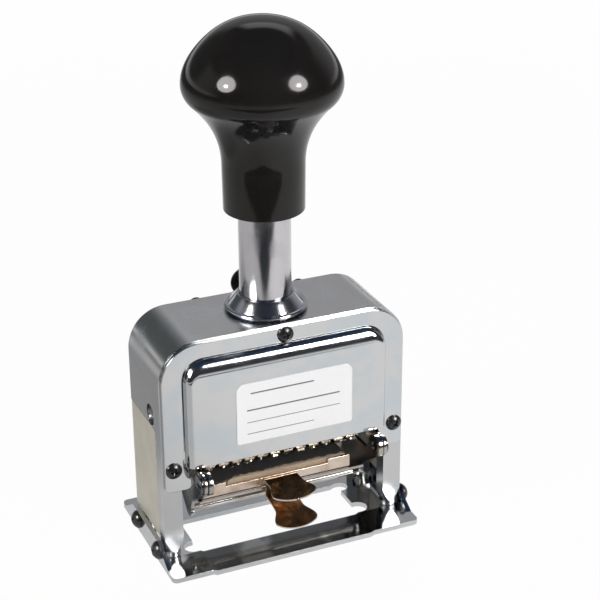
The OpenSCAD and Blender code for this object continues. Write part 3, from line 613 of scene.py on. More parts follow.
COPPERY_TRAY = Plated("coppery_tray", Slot.TRAY, (0.68, 0.57, 0.48), (0.44, 0.33, 0.26),
                      tint_share=0.65, cloud_size=6.0, roughness=0.24, spread=0.1, wave=0.01,
                      grain=0.004, grain_size=0.3, stretch=(1.0, 1.0, 0.08))
ARM_STEEL = Plated("dull_arm_steel", Slot.BASE, (0.50, 0.48, 0.45), (0.33, 0.30, 0.27),
                   tint_share=0.6, cloud_size=7.0, roughness=0.16, spread=0.08, wave=0.008,
                   grain=0.001, stretch=(1.0, 0.3, 0.3))
# Pale metal on the cut edges of the clip leaves stands in for light caught by the thin edges: painted
# highlight.
PAINTED_EDGE_HIGHLIGHT = Plated("spring_edge_painted_highlight", Slot.BRONZE, (0.72, 0.66, 0.58), (0.45, 0.36, 0.28),
                   tint_share=0.5, cloud_size=2.0, roughness=0.26, spread=0.1, wave=0.002)
KNOB_BLACK = Moulded("knob_black", Slot.BLACK, (0.0094, 0.0085, 0.0078), (0.0125, 0.0112, 0.010),
                     roughness=0.1, spread=0.03, peel=0.0012, peel_size=2.2, index=1.37)
STUD_BLACK = Moulded("stud_black", Slot.BLACK, (0.008, 0.008, 0.009), (0.02, 0.02, 0.022),
                     roughness=0.3, spread=0.08, peel=0.003)
BLACKED_SCREW = Moulded("blacked_screw", Slot.SCREW, (0.006, 0.006, 0.007), (0.022, 0.020, 0.020),
                        roughness=0.26, spread=0.12, peel=0.006, peel_size=0.5, index=1.6)
IVORY = Moulded("ivory_moulding", Slot.IVORY, (0.58, 0.55, 0.455), (0.52, 0.485, 0.395),
                roughness=0.38, spread=0.08, peel=0.004, peel_size=0.8)
INKED_FELT = Felt("inked_felt", Slot.FELT, (0.004, 0.0037, 0.0037), (0.60, 0.46, 0.33),
                  line=-10.5)
TINTED_SPRING = HeatTinted("heat_tinted_spring", Slot.BRONZE, (0.22, 0.155, 0.11),
                           (0.58, 0.38, 0.2), (0.075, 0.055, 0.045))


# --------------------------------------------------------------------------- mesh building


@dataclass
class Form:
    """Points in millimetres and the faces between them."""

    points: list[Vector] = field(default_factory=list)
    faces: list[tuple[int, ...]] = field(default_factory=list)

    def __add__(self, other: "Form") -> "Form":
        """Both forms as one.

        Args:
            other: The form that is added.

        Returns:
            The joined form.
        """
        start = len(self.points)
        shifted = [tuple(i + start for i in face) for face in other.faces]
        return Form(self.points + other.points, self.faces + shifted)

    def moved(self, matrix: Matrix) -> "Form":
        """A copy carried by a matrix; a mirroring one also turns the faces.

        Args:
            matrix: Where the form goes.

        Returns:
            The copy.
        """
        points = [matrix @ p for p in self.points]
        if matrix.determinant() > 0:
            return Form(points, list(self.faces))
        return Form(points, [tuple(reversed(face)) for face in self.faces])

    @classmethod
    def skin(cls, rings: Sequence[Sequence[Vector]], closed: bool = True, capped: bool = False,
             keep: Callable[[int, int], bool] = lambda row, column: True) -> "Form":
        """Surface through rows of points.

        Args:
            rings: Rows with the same number of points.
            closed: Whether each row closes on itself.
            capped: Whether the first and last rows are filled.
            keep: Tells by row and column whether a patch is made.

        Returns:
            The surface.
        """
        width = len(rings[0])
        points = [Vector(p) for ring in rings for p in ring]
        faces = []
        for row in range(len(rings) - 1):
            for column in range(width if closed else width - 1):
                if keep(row, column):
                    after = (column + 1) % width
                    low, high = row * width, (row + 1) * width
                    faces.append((low + column, low + after, high + after, high + column))
        if capped:
            faces.append(tuple(reversed(range(width))))
            faces.append(tuple(range((len(rings) - 1) * width, len(rings) * width)))
        return cls(points, faces)

    @classmethod
    def lathe(cls, profile: Sequence[Span], steps: int,
              ripple: Callable[[float], float] = lambda angle: 0.0) -> "Form":
        """Turned form about Z.

        Args:
            profile: Radius and height of each point; one that starts off the axis closes on itself.
            steps: Number of points around.
            ripple: Change of radius with the angle.

        Returns:
            The turned form.
        """
        rings = []
        for radius, height in profile:
            ring = []
            for i in range(steps):
                angle = math.tau * i / steps
                reach = max(radius + (ripple(angle) if radius else 0.0), TINY_RADIUS)
                ring.append(Vector((reach * math.cos(angle), reach * math.sin(angle), height)))
            rings.append(ring)
        if profile[0][0] > 0:
            rings.append(rings[0])
        return cls.skin(rings)

    @classmethod
    def prism(cls, outline: Sequence[Span], near: float, far: float) -> "Form":
        """Slab along Y from an outline in x and z."""
        rings = [[Vector((x, y, z)) for x, z in outline] for y in (near, far)]
        return cls.skin(rings, capped=True)

    @classmethod
    def of_mesh(cls, mesh: bpy.types.Mesh, scale: float = 1 / MM) -> "Form":
        """Form of a Blender mesh, with its doubled points merged and its flat triangles joined.

        Args:
            mesh: The mesh.
            scale: Factor on its coordinates.

        Returns:
            The form.
        """
        work = bmesh.new()
        work.from_mesh(mesh)
        bmesh.ops.remove_doubles(work, verts=work.verts, dist=WELD_READ)
        bmesh.ops.dissolve_limit(work, angle_limit=math.radians(FLAT_ANGLE), verts=work.verts,
                                 edges=work.edges)
        work.verts.index_update()
        points = [v.co * scale for v in work.verts]
        faces = [tuple(v.index for v in f.verts) for f in work.faces]
        work.free()
        return cls(points, faces)

    @classmethod
    def of_node(cls, node: str) -> "Form":
        """Form of a CAD node."""
        return cls.of_mesh(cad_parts[node].data)


@dataclass(frozen=True)
class Rounding:
    """Rounding of the edges of a piece."""

    width: float
    steps: int = 2
    angle: float = 28.0


def make_mesh(name: str, form: Form, sharp: float | None = None) -> bpy.types.Mesh:
    """Turn a form into a smooth-shaded mesh in metres.

    Args:
        name: Name of the mesh.
        form: Its points and faces.
        sharp: Angle from which an edge stays sharp; None leaves every edge smooth.

    Returns:
        The mesh.
    """
    work = bmesh.new()
    corners = [work.verts.new(p * MM) for p in form.points]
    for face in form.faces:
        used = list(dict.fromkeys(face))
        if len(used) > 2:
            try:
                work.faces.new([corners[i] for i in used])
            except ValueError:
                continue
    bmesh.ops.remove_doubles(work, verts=work.verts, dist=WELD_MADE)
    bmesh.ops.recalc_face_normals(work, faces=work.faces)
    for face in work.faces:
        face.smooth = True
    if sharp is not None:
        for edge in work.edges:
            edge.smooth = edge.calc_face_angle(0.0) < math.radians(sharp)
    mesh = bpy.data.meshes.new(name)
    work.to_mesh(mesh)
    work.free()
    return mesh


def show(name: str, data: bpy.types.ID) -> bpy.types.Object:
    """Make an object and put it in the scene.

    Args:
        name: Name of the object.
        data: Its mesh, curve, lamp or camera.

    Returns:
        The object.
    """
    made = bpy.data.objects.new(name, data)
    bpy.context.scene.collection.objects.link(made)
    return made


def settled(scrap: bpy.types.Object, scale: float = 1 / MM) -> Form:
    """Take the final form of a passing object, and remove the object.

    Args:
        scrap: The object, with its modifiers.
        scale: Factor on its coordinates.

    Returns:
        The form.
    """
    bpy.context.view_layer.update()
    final = scrap.evaluated_get(bpy.context.evaluated_depsgraph_get())
    form = Form.of_mesh(bpy.data.meshes.new_from_object(final), scale)
    bpy.data.objects.remove(scrap)
    return form


def make_piece(name: str, form: Form, finish: Finish, body: Body | str,
               stands_for: Sequence[str] = (), rounding: Rounding | None = None,
               sheet: float = 0.0, sharp: float | None = None,
               cut_edge: Finish | None = None) -> bpy.types.Object:
    """Make one piece, dress it and fasten it to the frame.

    Args:
        name: Name of the piece.
        form: Its points and faces, in place.
        finish: Its finish.
        body: The body that it rides on.
        stands_for: CAD nodes that it replaces.
        rounding: Rounding of its edges.
        sheet: Thickness that an open surface gets, inwards from its normals.
        sharp: Angle from which an edge stays sharp where there is no rounding.
        cut_edge: Finish of the cut edge of a sheet, where it differs.

    Returns:
        The new object.
    """
    mesh = make_mesh(name, form, sharp)
    mesh.materials.append(finish.material())
    piece = show(name, mesh)
    if sheet:
        shell = piece.modifiers.new("sheet", "SOLIDIFY")
        shell.thickness = sheet * MM
        shell.offset = -1.0
        shell.use_even_offset = True
        if cut_edge is not None:
            mesh.materials.append(cut_edge.material())
            shell.material_offset_rim = 1
    if rounding is not None:
        bevel = piece.modifiers.new("rounding", "BEVEL")
        bevel.width = rounding.width * MM
        bevel.segments = rounding.steps
        bevel.limit_method = "ANGLE"
        bevel.angle_limit = math.radians(rounding.angle)
        bevel.use_clamp_overlap = True
    if rounding is not None or sheet:
        weigh = piece.modifiers.new("even_shading", "WEIGHTED_NORMAL")
        weigh.keep_sharp = True
    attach(piece, body.value if isinstance(body, Body) else body)
    if stands_for:
        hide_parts(*stands_for)
    LOG.info("%s: %d points on %s", name, len(mesh.vertices), body)
    return piece


def soften(node: str, finish: Finish, body: Body | str, rounding: Rounding) -> bpy.types.Object:
    """Copy a CAD node with rounded edges and put the copy in its place.

    Args:
        node: Name of the node.
        finish: Finish of the copy.
        body: Body that it rides on.
        rounding: Rounding of its edges.

    Returns:
        The copy.
    """
    return make_piece(f"{node}_soft", Form.of_node(node), finish, body, (node,), rounding)


def low(node: str) -> Vector:
    """Lowest corner of a CAD node in millimetres."""
    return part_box(node)[0] / MM


def high(node: str) -> Vector:
    """Highest corner of a CAD node in millimetres."""
    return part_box(node)[1] / MM


def arc(centre: Span, radius: float, start: float, stop: float,
        steps: int) -> list[Span]:
    """Points of an arc, both ends included.

    Args:
        centre: Centre of the arc.
        radius: Its radius.
        start: Angle of its first point in degrees.
        stop: Angle of its last point in degrees.
        steps: Number of steps.

    Returns:
        The points.
    """
    turns = [math.radians(start + (stop - start) * i / steps) for i in range(steps + 1)]
    return [(centre[0] + radius * math.cos(t), centre[1] + radius * math.sin(t)) for t in turns]


def line(start: Span, stop: Span, steps: int) -> list[Span]:
    """Points of a straight run, both ends included."""
    spans = [i / steps for i in range(steps + 1)]
    return [(start[0] + (stop[0] - start[0]) * s, start[1] + (stop[1] - start[1]) * s) for s in spans]


FLIP_Y = Matrix.Diagonal((1.0, -1.0, 1.0, 1.0))
FLIP_X = Matrix.Diagonal((-1.0, 1.0, 1.0, 1.0))
SIDES = {"front": Matrix.Identity(4), "rear": FLIP_Y}


# --------------------------------------------------------------------------- housing


@dataclass
class Housing:
    """Cast arch with its legs, and the fixed pieces inside it."""

    edge: Rounding = Rounding(0.32, 3)
    small_edge: Rounding = Rounding(0.16, 2)
    pivot_edge: Rounding = Rounding(0.22, 3)
    screw_edge: Rounding = Rounding(0.1, 2)

    def build(self) -> None:
        """Make the arch, the pivot brackets, the fixed spring seat and the side screws."""
        for node, finish, edge in (("housing_frame", HOUSING_SATIN, self.edge),
                                   ("left_pad_bracket", ARM_STEEL, self.small_edge),
                                   ("right_pad_bracket", ARM_STEEL, self.small_edge),
                                   ("pad_pivot_screws", BASE_CHROME, self.pivot_edge),
                                   ("spring_anchor", MACHINED_STEEL, self.small_edge),
                                   ("side_screws", MACHINED_STEEL, self.screw_edge)):
            soften(node, finish, Body.FRAME, edge)


@dataclass
class BasePlate:
    """Pressed base plate with its turned-up flanges."""

    edge: Rounding = Rounding(0.3, 3)

    def build(self) -> None:
        """Make the plate."""
        soften("base_plate", BASE_CHROME, Body.FRAME, self.edge)


@dataclass
class Covers:
    """Pressed front and rear covers: a flat rim and a panel that stands out with round shoulders."""

    sheet: float = 1.2
    rim_half: float = 36.7
    rim_top: float = 69.1
    rim_corner: float = 11.0
    tab_in: float = 29.0
    tab_low: float = 24.4
    tab_corner: float = 1.4
    panel_half: float = 30.6
    panel_low: float = 32.2
    panel_top: float = 64.4
    panel_corner: float = 6.5
    panel_rise: float = 3.0
    shoulder_side: float = 1.9
    shoulder_top: float = 5.0
    mitre_corner: float = 1.1
    panel_thinner: float = 0.05
    groove: float = 0.14
    groove_depth: float = 0.45
    rim_edge: Rounding = Rounding(0.22, 3)
    panel_edge: Rounding = Rounding(0.12, 2)
    nook_steps: int = 6
    corner_steps: int = 20
    panel_corner_steps: int = 16
    side_steps: int = 8
    top_steps: int = 12
    shoulder_steps: int = 14

    def __post_init__(self) -> None:
        """Take the planes of the sheet from the frame."""
        self.face_y = low("front_cover").y
        self.rim_y = self.face_y + self.panel_rise
        self.back_y = self.rim_y + self.sheet

    def rim_outline(self) -> list[Span]:
        """Outline of the flat rim: an arch band with two tabs.

        Returns:
            The outline in x and z.
        """
        half, top, corner, nook = self.rim_half, self.rim_top, self.rim_corner, self.tab_corner
        nook_level = self.tab_low + nook
        outer = arc((-half + nook, nook_level), nook, 270, 180, self.nook_steps)
        outer += arc((-half + corner, top - corner), corner, 180, 90, self.corner_steps)
        outer += arc((half - corner, top - corner), corner, 90, 0, self.corner_steps)
        outer += arc((half - nook, nook_level), nook, 0, -90, self.nook_steps)
        outer += arc((self.tab_in + nook, nook_level), nook, 270, 180, self.nook_steps)
        reach = self.panel_half + self.groove
        bend = self.panel_corner + self.groove
        crown = self.panel_top + self.groove
        inner = [(self.tab_in, self.panel_low), (reach, self.panel_low)]
        inner += arc((reach - bend, crown - bend), bend, 0, 90, self.panel_corner_steps)
        inner += arc((-reach + bend, crown - bend), bend, 90, 180, self.panel_corner_steps)
        inner += [(-reach, self.panel_low), (-self.tab_in, self.panel_low)]
        inner += arc((-self.tab_in - nook, nook_level), nook, 0, -90, self.nook_steps)
        return outer + inner

    def panel_path(self, half: float, top: float, corner: float) -> list[Span]:
        """Path up the left side, over the top and down the right side of the panel.

        Args:
            half: Half its width.
            top: Its highest level.
            corner: Radius of its two corners.

        Returns:
            The path in x and z, with the same number of points for any size.
        """
        bend, rise = self.panel_corner_steps, self.side_steps
        path = line((-half, self.panel_low), (-half, top - corner), rise)
        path += arc((-half + corner, top - corner), corner, 180, 90, bend)[1:]
        path += line((-half + corner, top), (half - corner, top), self.top_steps)[1:]
        path += arc((half - corner, top - corner), corner, 90, 0, bend)[1:]
        path += line((half, top - corner), (half, self.panel_low), rise)[1:]
        return path

    def panel(self) -> Form:
        """Outer skin of the raised panel.

        Returns:
            The open skin.
        """
        foot = self.panel_path(self.panel_half, self.panel_top, self.panel_corner)
        crest = self.panel_path(self.panel_half - self.shoulder_side,
                                self.panel_top - self.shoulder_top, self.mitre_corner)
        rings = [[Vector((x, self.rim_y + self.groove_depth, z)) for x, z in foot]]
        for step in range(self.shoulder_steps + 1):
            turn = math.pi / 2 * step / self.shoulder_steps
            share = 1 - math.cos(turn)
            y = self.rim_y - self.panel_rise * math.sin(turn)
            rings.append([Vector((a[0] + (b[0] - a[0]) * share, y, a[1] + (b[1] - a[1]) * share))
                          for a, b in zip(foot, crest)])
        form = Form.skin(rings, closed=False)
        width = len(foot)
        start = (len(rings) - 1) * width
        form.faces.append(tuple(range(start, start + width)))
        return form

    def build(self) -> None:
        """Make the rim and the panel of both covers."""
        rim = Form.prism(self.rim_outline(), self.rim_y, self.back_y)
        panel = self.panel()
        for side, turn in SIDES.items():
            node = f"{side}_cover"
            make_piece(f"{node}_rim", rim.moved(turn), COVER_CHROME, Body.FRAME, (node,), self.rim_edge)
            make_piece(f"{node}_panel", panel.moved(turn), COVER_CHROME, Body.FRAME, (node,),
                       self.panel_edge, sheet=self.sheet - self.panel_thinner)


@dataclass
class Screws:
    """Black cross-slot screws of the covers and of the base.

    A head is given as its radius and rise, and a turn as the angle of the first cross with the
    step to each next one, in degrees.
    """

    cover_head: Span = (2.4, 1.5)
    cover_turn: Span = (18.0, 31.0)
    top_level: float = 66.9
    front_tops: tuple[float, ...] = (0.0,)
    rear_tops: tuple[float, ...] = (-16.0, 16.0)
    leg_places: tuple[Span, ...] = ((34.1, 31.3), (-34.1, 31.3))
    base_head: Span = (2.7, 2.1)
    base_turn: Span = (40.0, 25.0)
    base_places: tuple[Span, ...] = ((-10.6, 4.5), (7.4, 4.5))
    base_seat: float = 38.63
    seat_share: float = 0.97
    seat_rise: float = 0.12
    flank_share: float = 0.22
    dome_steps: int = 12
    head_steps: int = 64
    cross_share: float = 0.62
    cross_levels: tuple[Span, ...] = ((1.3, 1.0), (0.62, 0.78), (0.3, 0.34))
    arm: float = 0.34
    arm_taper: float = 0.45
    edge: Rounding = Rounding(0.07, 2, 32.0)

    def head(self, radius: float, rise: float) -> Form:
        """Domed head on the plane z = 0 with a cross recess.

        Args:
            radius: Radius of the head.
            rise: Height of its dome.

        Returns:
            The head.
        """
        flank = self.flank_share * rise
        crown = rise - flank
        ball = (radius * radius + crown * crown) / (2 * crown)
        sweep = math.asin(min(1.0, radius / ball))
        profile = [(0.0, 0.0), (radius * self.seat_share, 0.0), (radius, self.seat_rise), (radius, flank)]
        for i in range(1, self.dome_steps + 1):
            turn = sweep * (1 - i / self.dome_steps)
            profile.append((ball * math.sin(turn), rise - ball * (1 - math.cos(turn))))
        dome = show("head", make_mesh("head", Form.lathe(profile, self.head_steps)))
        cutter = show("cutter", make_mesh("cutter", self.cross(self.cross_share * radius, rise)))
        cut = dome.modifiers.new("recess", "BOOLEAN")
        cut.object = cutter
        cut.solver = "EXACT"
        form = settled(dome)
        bpy.data.objects.remove(cutter)
        return form

    def cross(self, reach: float, rise: float) -> Form:
        """Cross-shaped cutter that narrows downwards.

        Args:
            reach: Length of each arm at the top.
            rise: Height of the head that it cuts.

        Returns:
            The cutter.
        """
        rings = []
        for height, share in self.cross_levels:
            long = reach * share
            thin = self.arm * (1 - self.arm_taper + self.arm_taper * share)
            ring = []
            for quarter in range(4):
                turn = Matrix.Rotation(math.pi / 2 * quarter, 3, "Z")
                ring += [turn @ Vector((x, y, rise * height))
                         for x, y in ((long, -thin), (long, thin), (thin, thin))]
            rings.append(ring)
        return Form.skin(rings, capped=True)

    @staticmethod
    def row(head: Form, seats: Sequence[Triple], facing: Matrix, turn: Span) -> Form:
        """Heads on their seats.

        Args:
            head: One head on the plane z = 0.
            seats: Middle of each seat.
            facing: Turn that makes a head look away from its seat.
            turn: Angle of the first cross and the step to each next one.

        Returns:
            All of the heads.
        """
        form = Form()
        for index, seat in enumerate(seats):
            spin = Matrix.Rotation(math.radians(turn[0] + turn[1] * index), 4, "Z")
            form = form + head.moved(Matrix.Translation(seat) @ facing @ spin)
        return form

    def build(self) -> None:
        """Make the three sets of screws."""
        head = self.head(*self.cover_head)
        rim_y = low("front_cover").y + Covers.panel_rise
        to_front = Matrix.Rotation(math.pi / 2, 4, "X")
        for side, tops in (("front", self.front_tops), ("rear", self.rear_tops)):
            seats = [(x, rim_y, self.top_level) for x in tops] + [(x, rim_y, z) for x, z in self.leg_places]
            heads = self.row(head, seats, to_front, self.cover_turn).moved(SIDES[side])
            make_piece(f"{side}_cover_screw_heads", heads, BLACKED_SCREW, Body.FRAME,
                       (f"{side}_cover_screws",), self.edge)
        to_left = Matrix.Rotation(-math.pi / 2, 4, "Y")
        seats = [(-self.base_seat, y, z) for y, z in self.base_places]
        left = self.row(self.head(*self.base_head), seats, to_left, self.base_turn)
        make_piece("base_screw_heads", left + left.moved(FLIP_X), BLACKED_SCREW, Body.FRAME,
                   ("base_screws",), self.edge)


@dataclass
class LabelPlate:
    """Plain label with ruled lines for a name to be written in.

    The short title line is given by its two ends from the left edge and its drop from the upper
    edge, the long lines by their insets from both edges and their rises from the lower edge.
    """

    top_corner: float = 3.0
    low_corner: float = 1.0
    top_steps: int = 12
    low_steps: int = 6
    paper: Colour = (0.93, 0.93, 0.93)
    ink: Colour = (0.02, 0.02, 0.022)
    title: Triple = (4.4, 23.5, 3.4)
    inset: Span = (3.2, 4.0)
    short_inset: float = 12.0
    rises: Triple = (10.4, 6.6, 3.0)
    thick: float = 0.34
    thin: float = 0.16
    edge: Rounding = Rounding(0.04, 2)

    def build(self) -> None:
        """Make the label."""
        a, b = low("label"), high("label")
        top, foot = self.top_corner, self.low_corner
        outline = arc((a.x + foot, a.z + foot), foot, 270, 180, self.low_steps)
        outline += arc((a.x + top, b.z - top), top, 180, 90, self.top_steps)
        outline += arc((b.x - top, b.z - top), top, 90, 0, self.top_steps)
        outline += arc((b.x - foot, a.z + foot), foot, 0, -90, self.low_steps)
        centre = ((a.x + b.x) / 2, (a.z + b.z) / 2)
        half = ((b.x - a.x) / 2, (b.z - a.z) / 2)
        left, right = a.x + self.inset[0], b.x - self.inset[1]
        start, end, drop = self.title
        rules = ((a.x + start, a.x + end, b.z - drop, self.thick),
                 (left, right, a.z + self.rises[0], self.thick),
                 (left, right, a.z + self.rises[1], self.thin),
                 (left, b.x - self.short_inset, a.z + self.rises[2], self.thin))
        film = Paper("label_film", Slot.LABEL, self.paper, self.ink, centre, half, rules)
        make_piece("label_sheet", Form.prism(outline, a.y, b.y), film, Body.FRAME, ("label",), self.edge)


@dataclass
class SideCovers:
    """Ivory plastic covers of the side openings."""

    edge: Rounding = Rounding(0.55, 4)

    def build(self) -> None:
        """Make both covers."""
        for node in ("left_side_cover", "right_side_cover"):
            soften(node, IVORY, Body.FRAME, self.edge)


@dataclass
class Collar:
    """Turned collar that guides the plunger tube."""

    neck: float = 9.9
    lip: float = 11.9
    lip_round: float = 0.65
    lip_level: float = 70.7
    cone_foot: float = 10.7
    cone_head: float = 8.3
    bore: float = 7.47
    bore_chamfer: float = 0.12
    spigot: float = 9.6
    seat_gap: float = 0.02
    fillet: float = 0.35
    fillet_sweep: Span = (230.0, 180.0)
    fillet_steps: int = 4
    lip_sweep: Span = (-100.0, 118.0)
    lip_steps: int = 18
    cone_rise: float = 0.53
    cone_stop: float = 0.12
    head_round: float = 0.2
    head_sweep: Span = (40.0, 90.0)
    small_steps: int = 3

    def profile(self) -> list[Span]:
        """Closed half section of the collar.

        Returns:
            Radius and height of its points.
        """
        a, b = low("collar"), high("collar")
        seat = high("housing_frame").z
        foot, level = self.neck + self.fillet, seat + self.seat_gap
        points = [(self.bore, a.z), (self.spigot, a.z), (self.spigot, level), (foot, level)]
        points += arc((foot, seat + self.fillet), self.fillet, *self.fillet_sweep, self.fillet_steps)
        points += arc((self.lip - self.lip_round, self.lip_level), self.lip_round, *self.lip_sweep,
                      self.lip_steps)
        points += line((self.cone_foot, self.lip_level + self.cone_rise),
                       (self.cone_head, b.z - self.cone_stop), self.small_steps)
        points += arc((self.cone_head - self.head_round, b.z - self.head_round), self.head_round,
                      *self.head_sweep, self.small_steps)
        points += [(self.bore + self.bore_chamfer, b.z), (self.bore, b.z - self.bore_chamfer)]
        return points

    def build(self) -> None:
        """Make the collar."""
        make_piece("collar_turned", Form.lathe(self.profile(), FINE_TURN), COLLAR_CHROME, Body.FRAME,
                   ("collar",), sharp=SHARP_TURNED)


# --------------------------------------------------------------------------- plunger


@dataclass
class Plunger:
    """Knob, tube and wheel carriage that go down together."""

    sleeve: float = 11.4
    throat: float = 11.54
    grip_rise: float = 35.8
    under_turn: float = 47.3
    under_round: float = 6.5
    throat_rise: float = 22.7
    dome_pinch: float = 0.054
    tube: float = 7.4
    tube_wall: float = 1.6
    slot_half: float = 2.0
    slot_low: float = 63.6
    slot_high: float = 98.0
    bore_gap: float = 0.03
    bore_chamfer: float = 0.4
    foot_round: float = 0.3
    foot_steps: int = 7
    throat_steps: int = 28
    under_steps: int = 16
    dome_steps: int = 40
    tube_steps: int = 108
    slot_steps: int = 6
    tube_edge: Rounding = Rounding(0.12, 2, 40.0)
    fine_edge: Rounding = Rounding(0.14, 2)
    carriage_edge: Rounding = Rounding(0.2, 2)
    axle_edge: Rounding = Rounding(0.12, 2)
    comb_edge: Rounding = Rounding(0.08, 2)
    dial_edge: Rounding = Rounding(0.18, 2)

    def under(self, angle: float, widest: float, middle: float) -> Span:
        """Point of the turned-under rim.

        Args:
            angle: Angle from the widest line in degrees.
            widest: Largest radius of the knob.
            middle: Height of that radius.

        Returns:
            Radius and height of the point.
        """
        turn = math.radians(angle)
        return (widest - self.under_round * (1 - math.cos(turn)), middle - self.under_round * math.sin(turn))

    def knob_profile(self) -> list[Span]:
        """Half section of the knob, from its bore over the dome and back.

        Returns:
            Radius and height of its points.
        """
        a, b = low("knob"), high("knob")
        widest, middle = b.x, a.z + self.grip_rise
        dome = b.z - middle
        bore_top = high("plunger_tube").z
        bore = self.tube + self.bore_gap
        points = [(0.0, bore_top), (bore, bore_top), (bore, a.z + self.bore_chamfer),
                  (self.tube + self.bore_chamfer, a.z)]
        points += arc((self.sleeve - self.foot_round, a.z + self.foot_round), self.foot_round, 270, 360,
                      self.foot_steps)
        start, end = (self.throat, middle - self.throat_rise), self.under(self.under_turn, widest, middle)
        drop = (end[0] - self.throat) / math.tan(math.radians(self.under_turn))
        pull = (self.throat, end[1] - drop)
        for i in range(self.throat_steps + 1):
            s = i / self.throat_steps
            points.append(tuple((1 - s) ** 2 * p + 2 * s * (1 - s) * c + s * s * q
                                for p, c, q in zip(start, pull, end)))
        for i in range(1, self.under_steps + 1):
            points.append(self.under(self.under_turn * (1 - i / self.under_steps), widest, middle))
        for i in range(1, self.dome_steps + 1):
            turn = math.pi / 2 * (1 - i / self.dome_steps)
            pinch = 1 - self.dome_pinch * math.sin(2 * turn) ** 2
            points.append((widest * math.sin(turn) * pinch, middle + dome * math.cos(turn)))
        return points

    def tube_form(self) -> Form:
        """Outer skin of the tube with the slot at its rear.

        Returns:
            The open skin.
        """
        a, b = low("plunger_tube"), high("plunger_tube")
        gap = math.degrees(math.asin(self.slot_half / self.tube))
        steps, across = self.tube_steps, self.slot_steps
        turns = [90 + gap + (360 - 2 * gap) * i / steps for i in range(steps + 1)]
        turns += [90 - gap + 2 * gap * i / across for i in range(1, across)]
        rings = []
        for z in (a.z, self.slot_low, self.slot_high, b.z):
            angles = [math.radians(t) for t in turns]
            rings.append([Vector((self.tube * math.cos(t), self.tube * math.sin(t), z)) for t in angles])
        return Form.skin(rings, keep=lambda row, column: row != 1 or column < steps)

    def build(self) -> None:
        """Make the knob, the tube and what hangs on them."""
        make_piece("knob_turned", Form.lathe(self.knob_profile(), FINE_TURN), KNOB_BLACK, Body.PLUNGER,
                   ("knob",), sharp=SHARP_TURNED)
        make_piece("plunger_tube_drawn", self.tube_form(), TUBE_BRUSHED, Body.PLUNGER,
                   ("plunger_tube",), self.tube_edge, sheet=self.tube_wall)
        for node, finish, body, edge in (
                ("tube_plug", MACHINED_STEEL, Body.PLUNGER, self.fine_edge),
                ("wheel_carriage", MACHINED_STEEL, Body.PLUNGER, self.carriage_edge),
                ("wheel_axle", MACHINED_STEEL, Body.PLUNGER, self.axle_edge),
                ("detent_comb", TYPE_BRASS, Body.PLUNGER, self.comb_edge),
                ("pawl_shaft", MACHINED_STEEL, Body.PLUNGER, self.fine_edge),
                ("pawl_frame", TYPE_BRASS, Body.PAWLS, self.fine_edge),
                ("repeat_dial", MACHINED_STEEL, Body.DIAL, self.dial_edge)):
            soften(node, finish, body, edge)


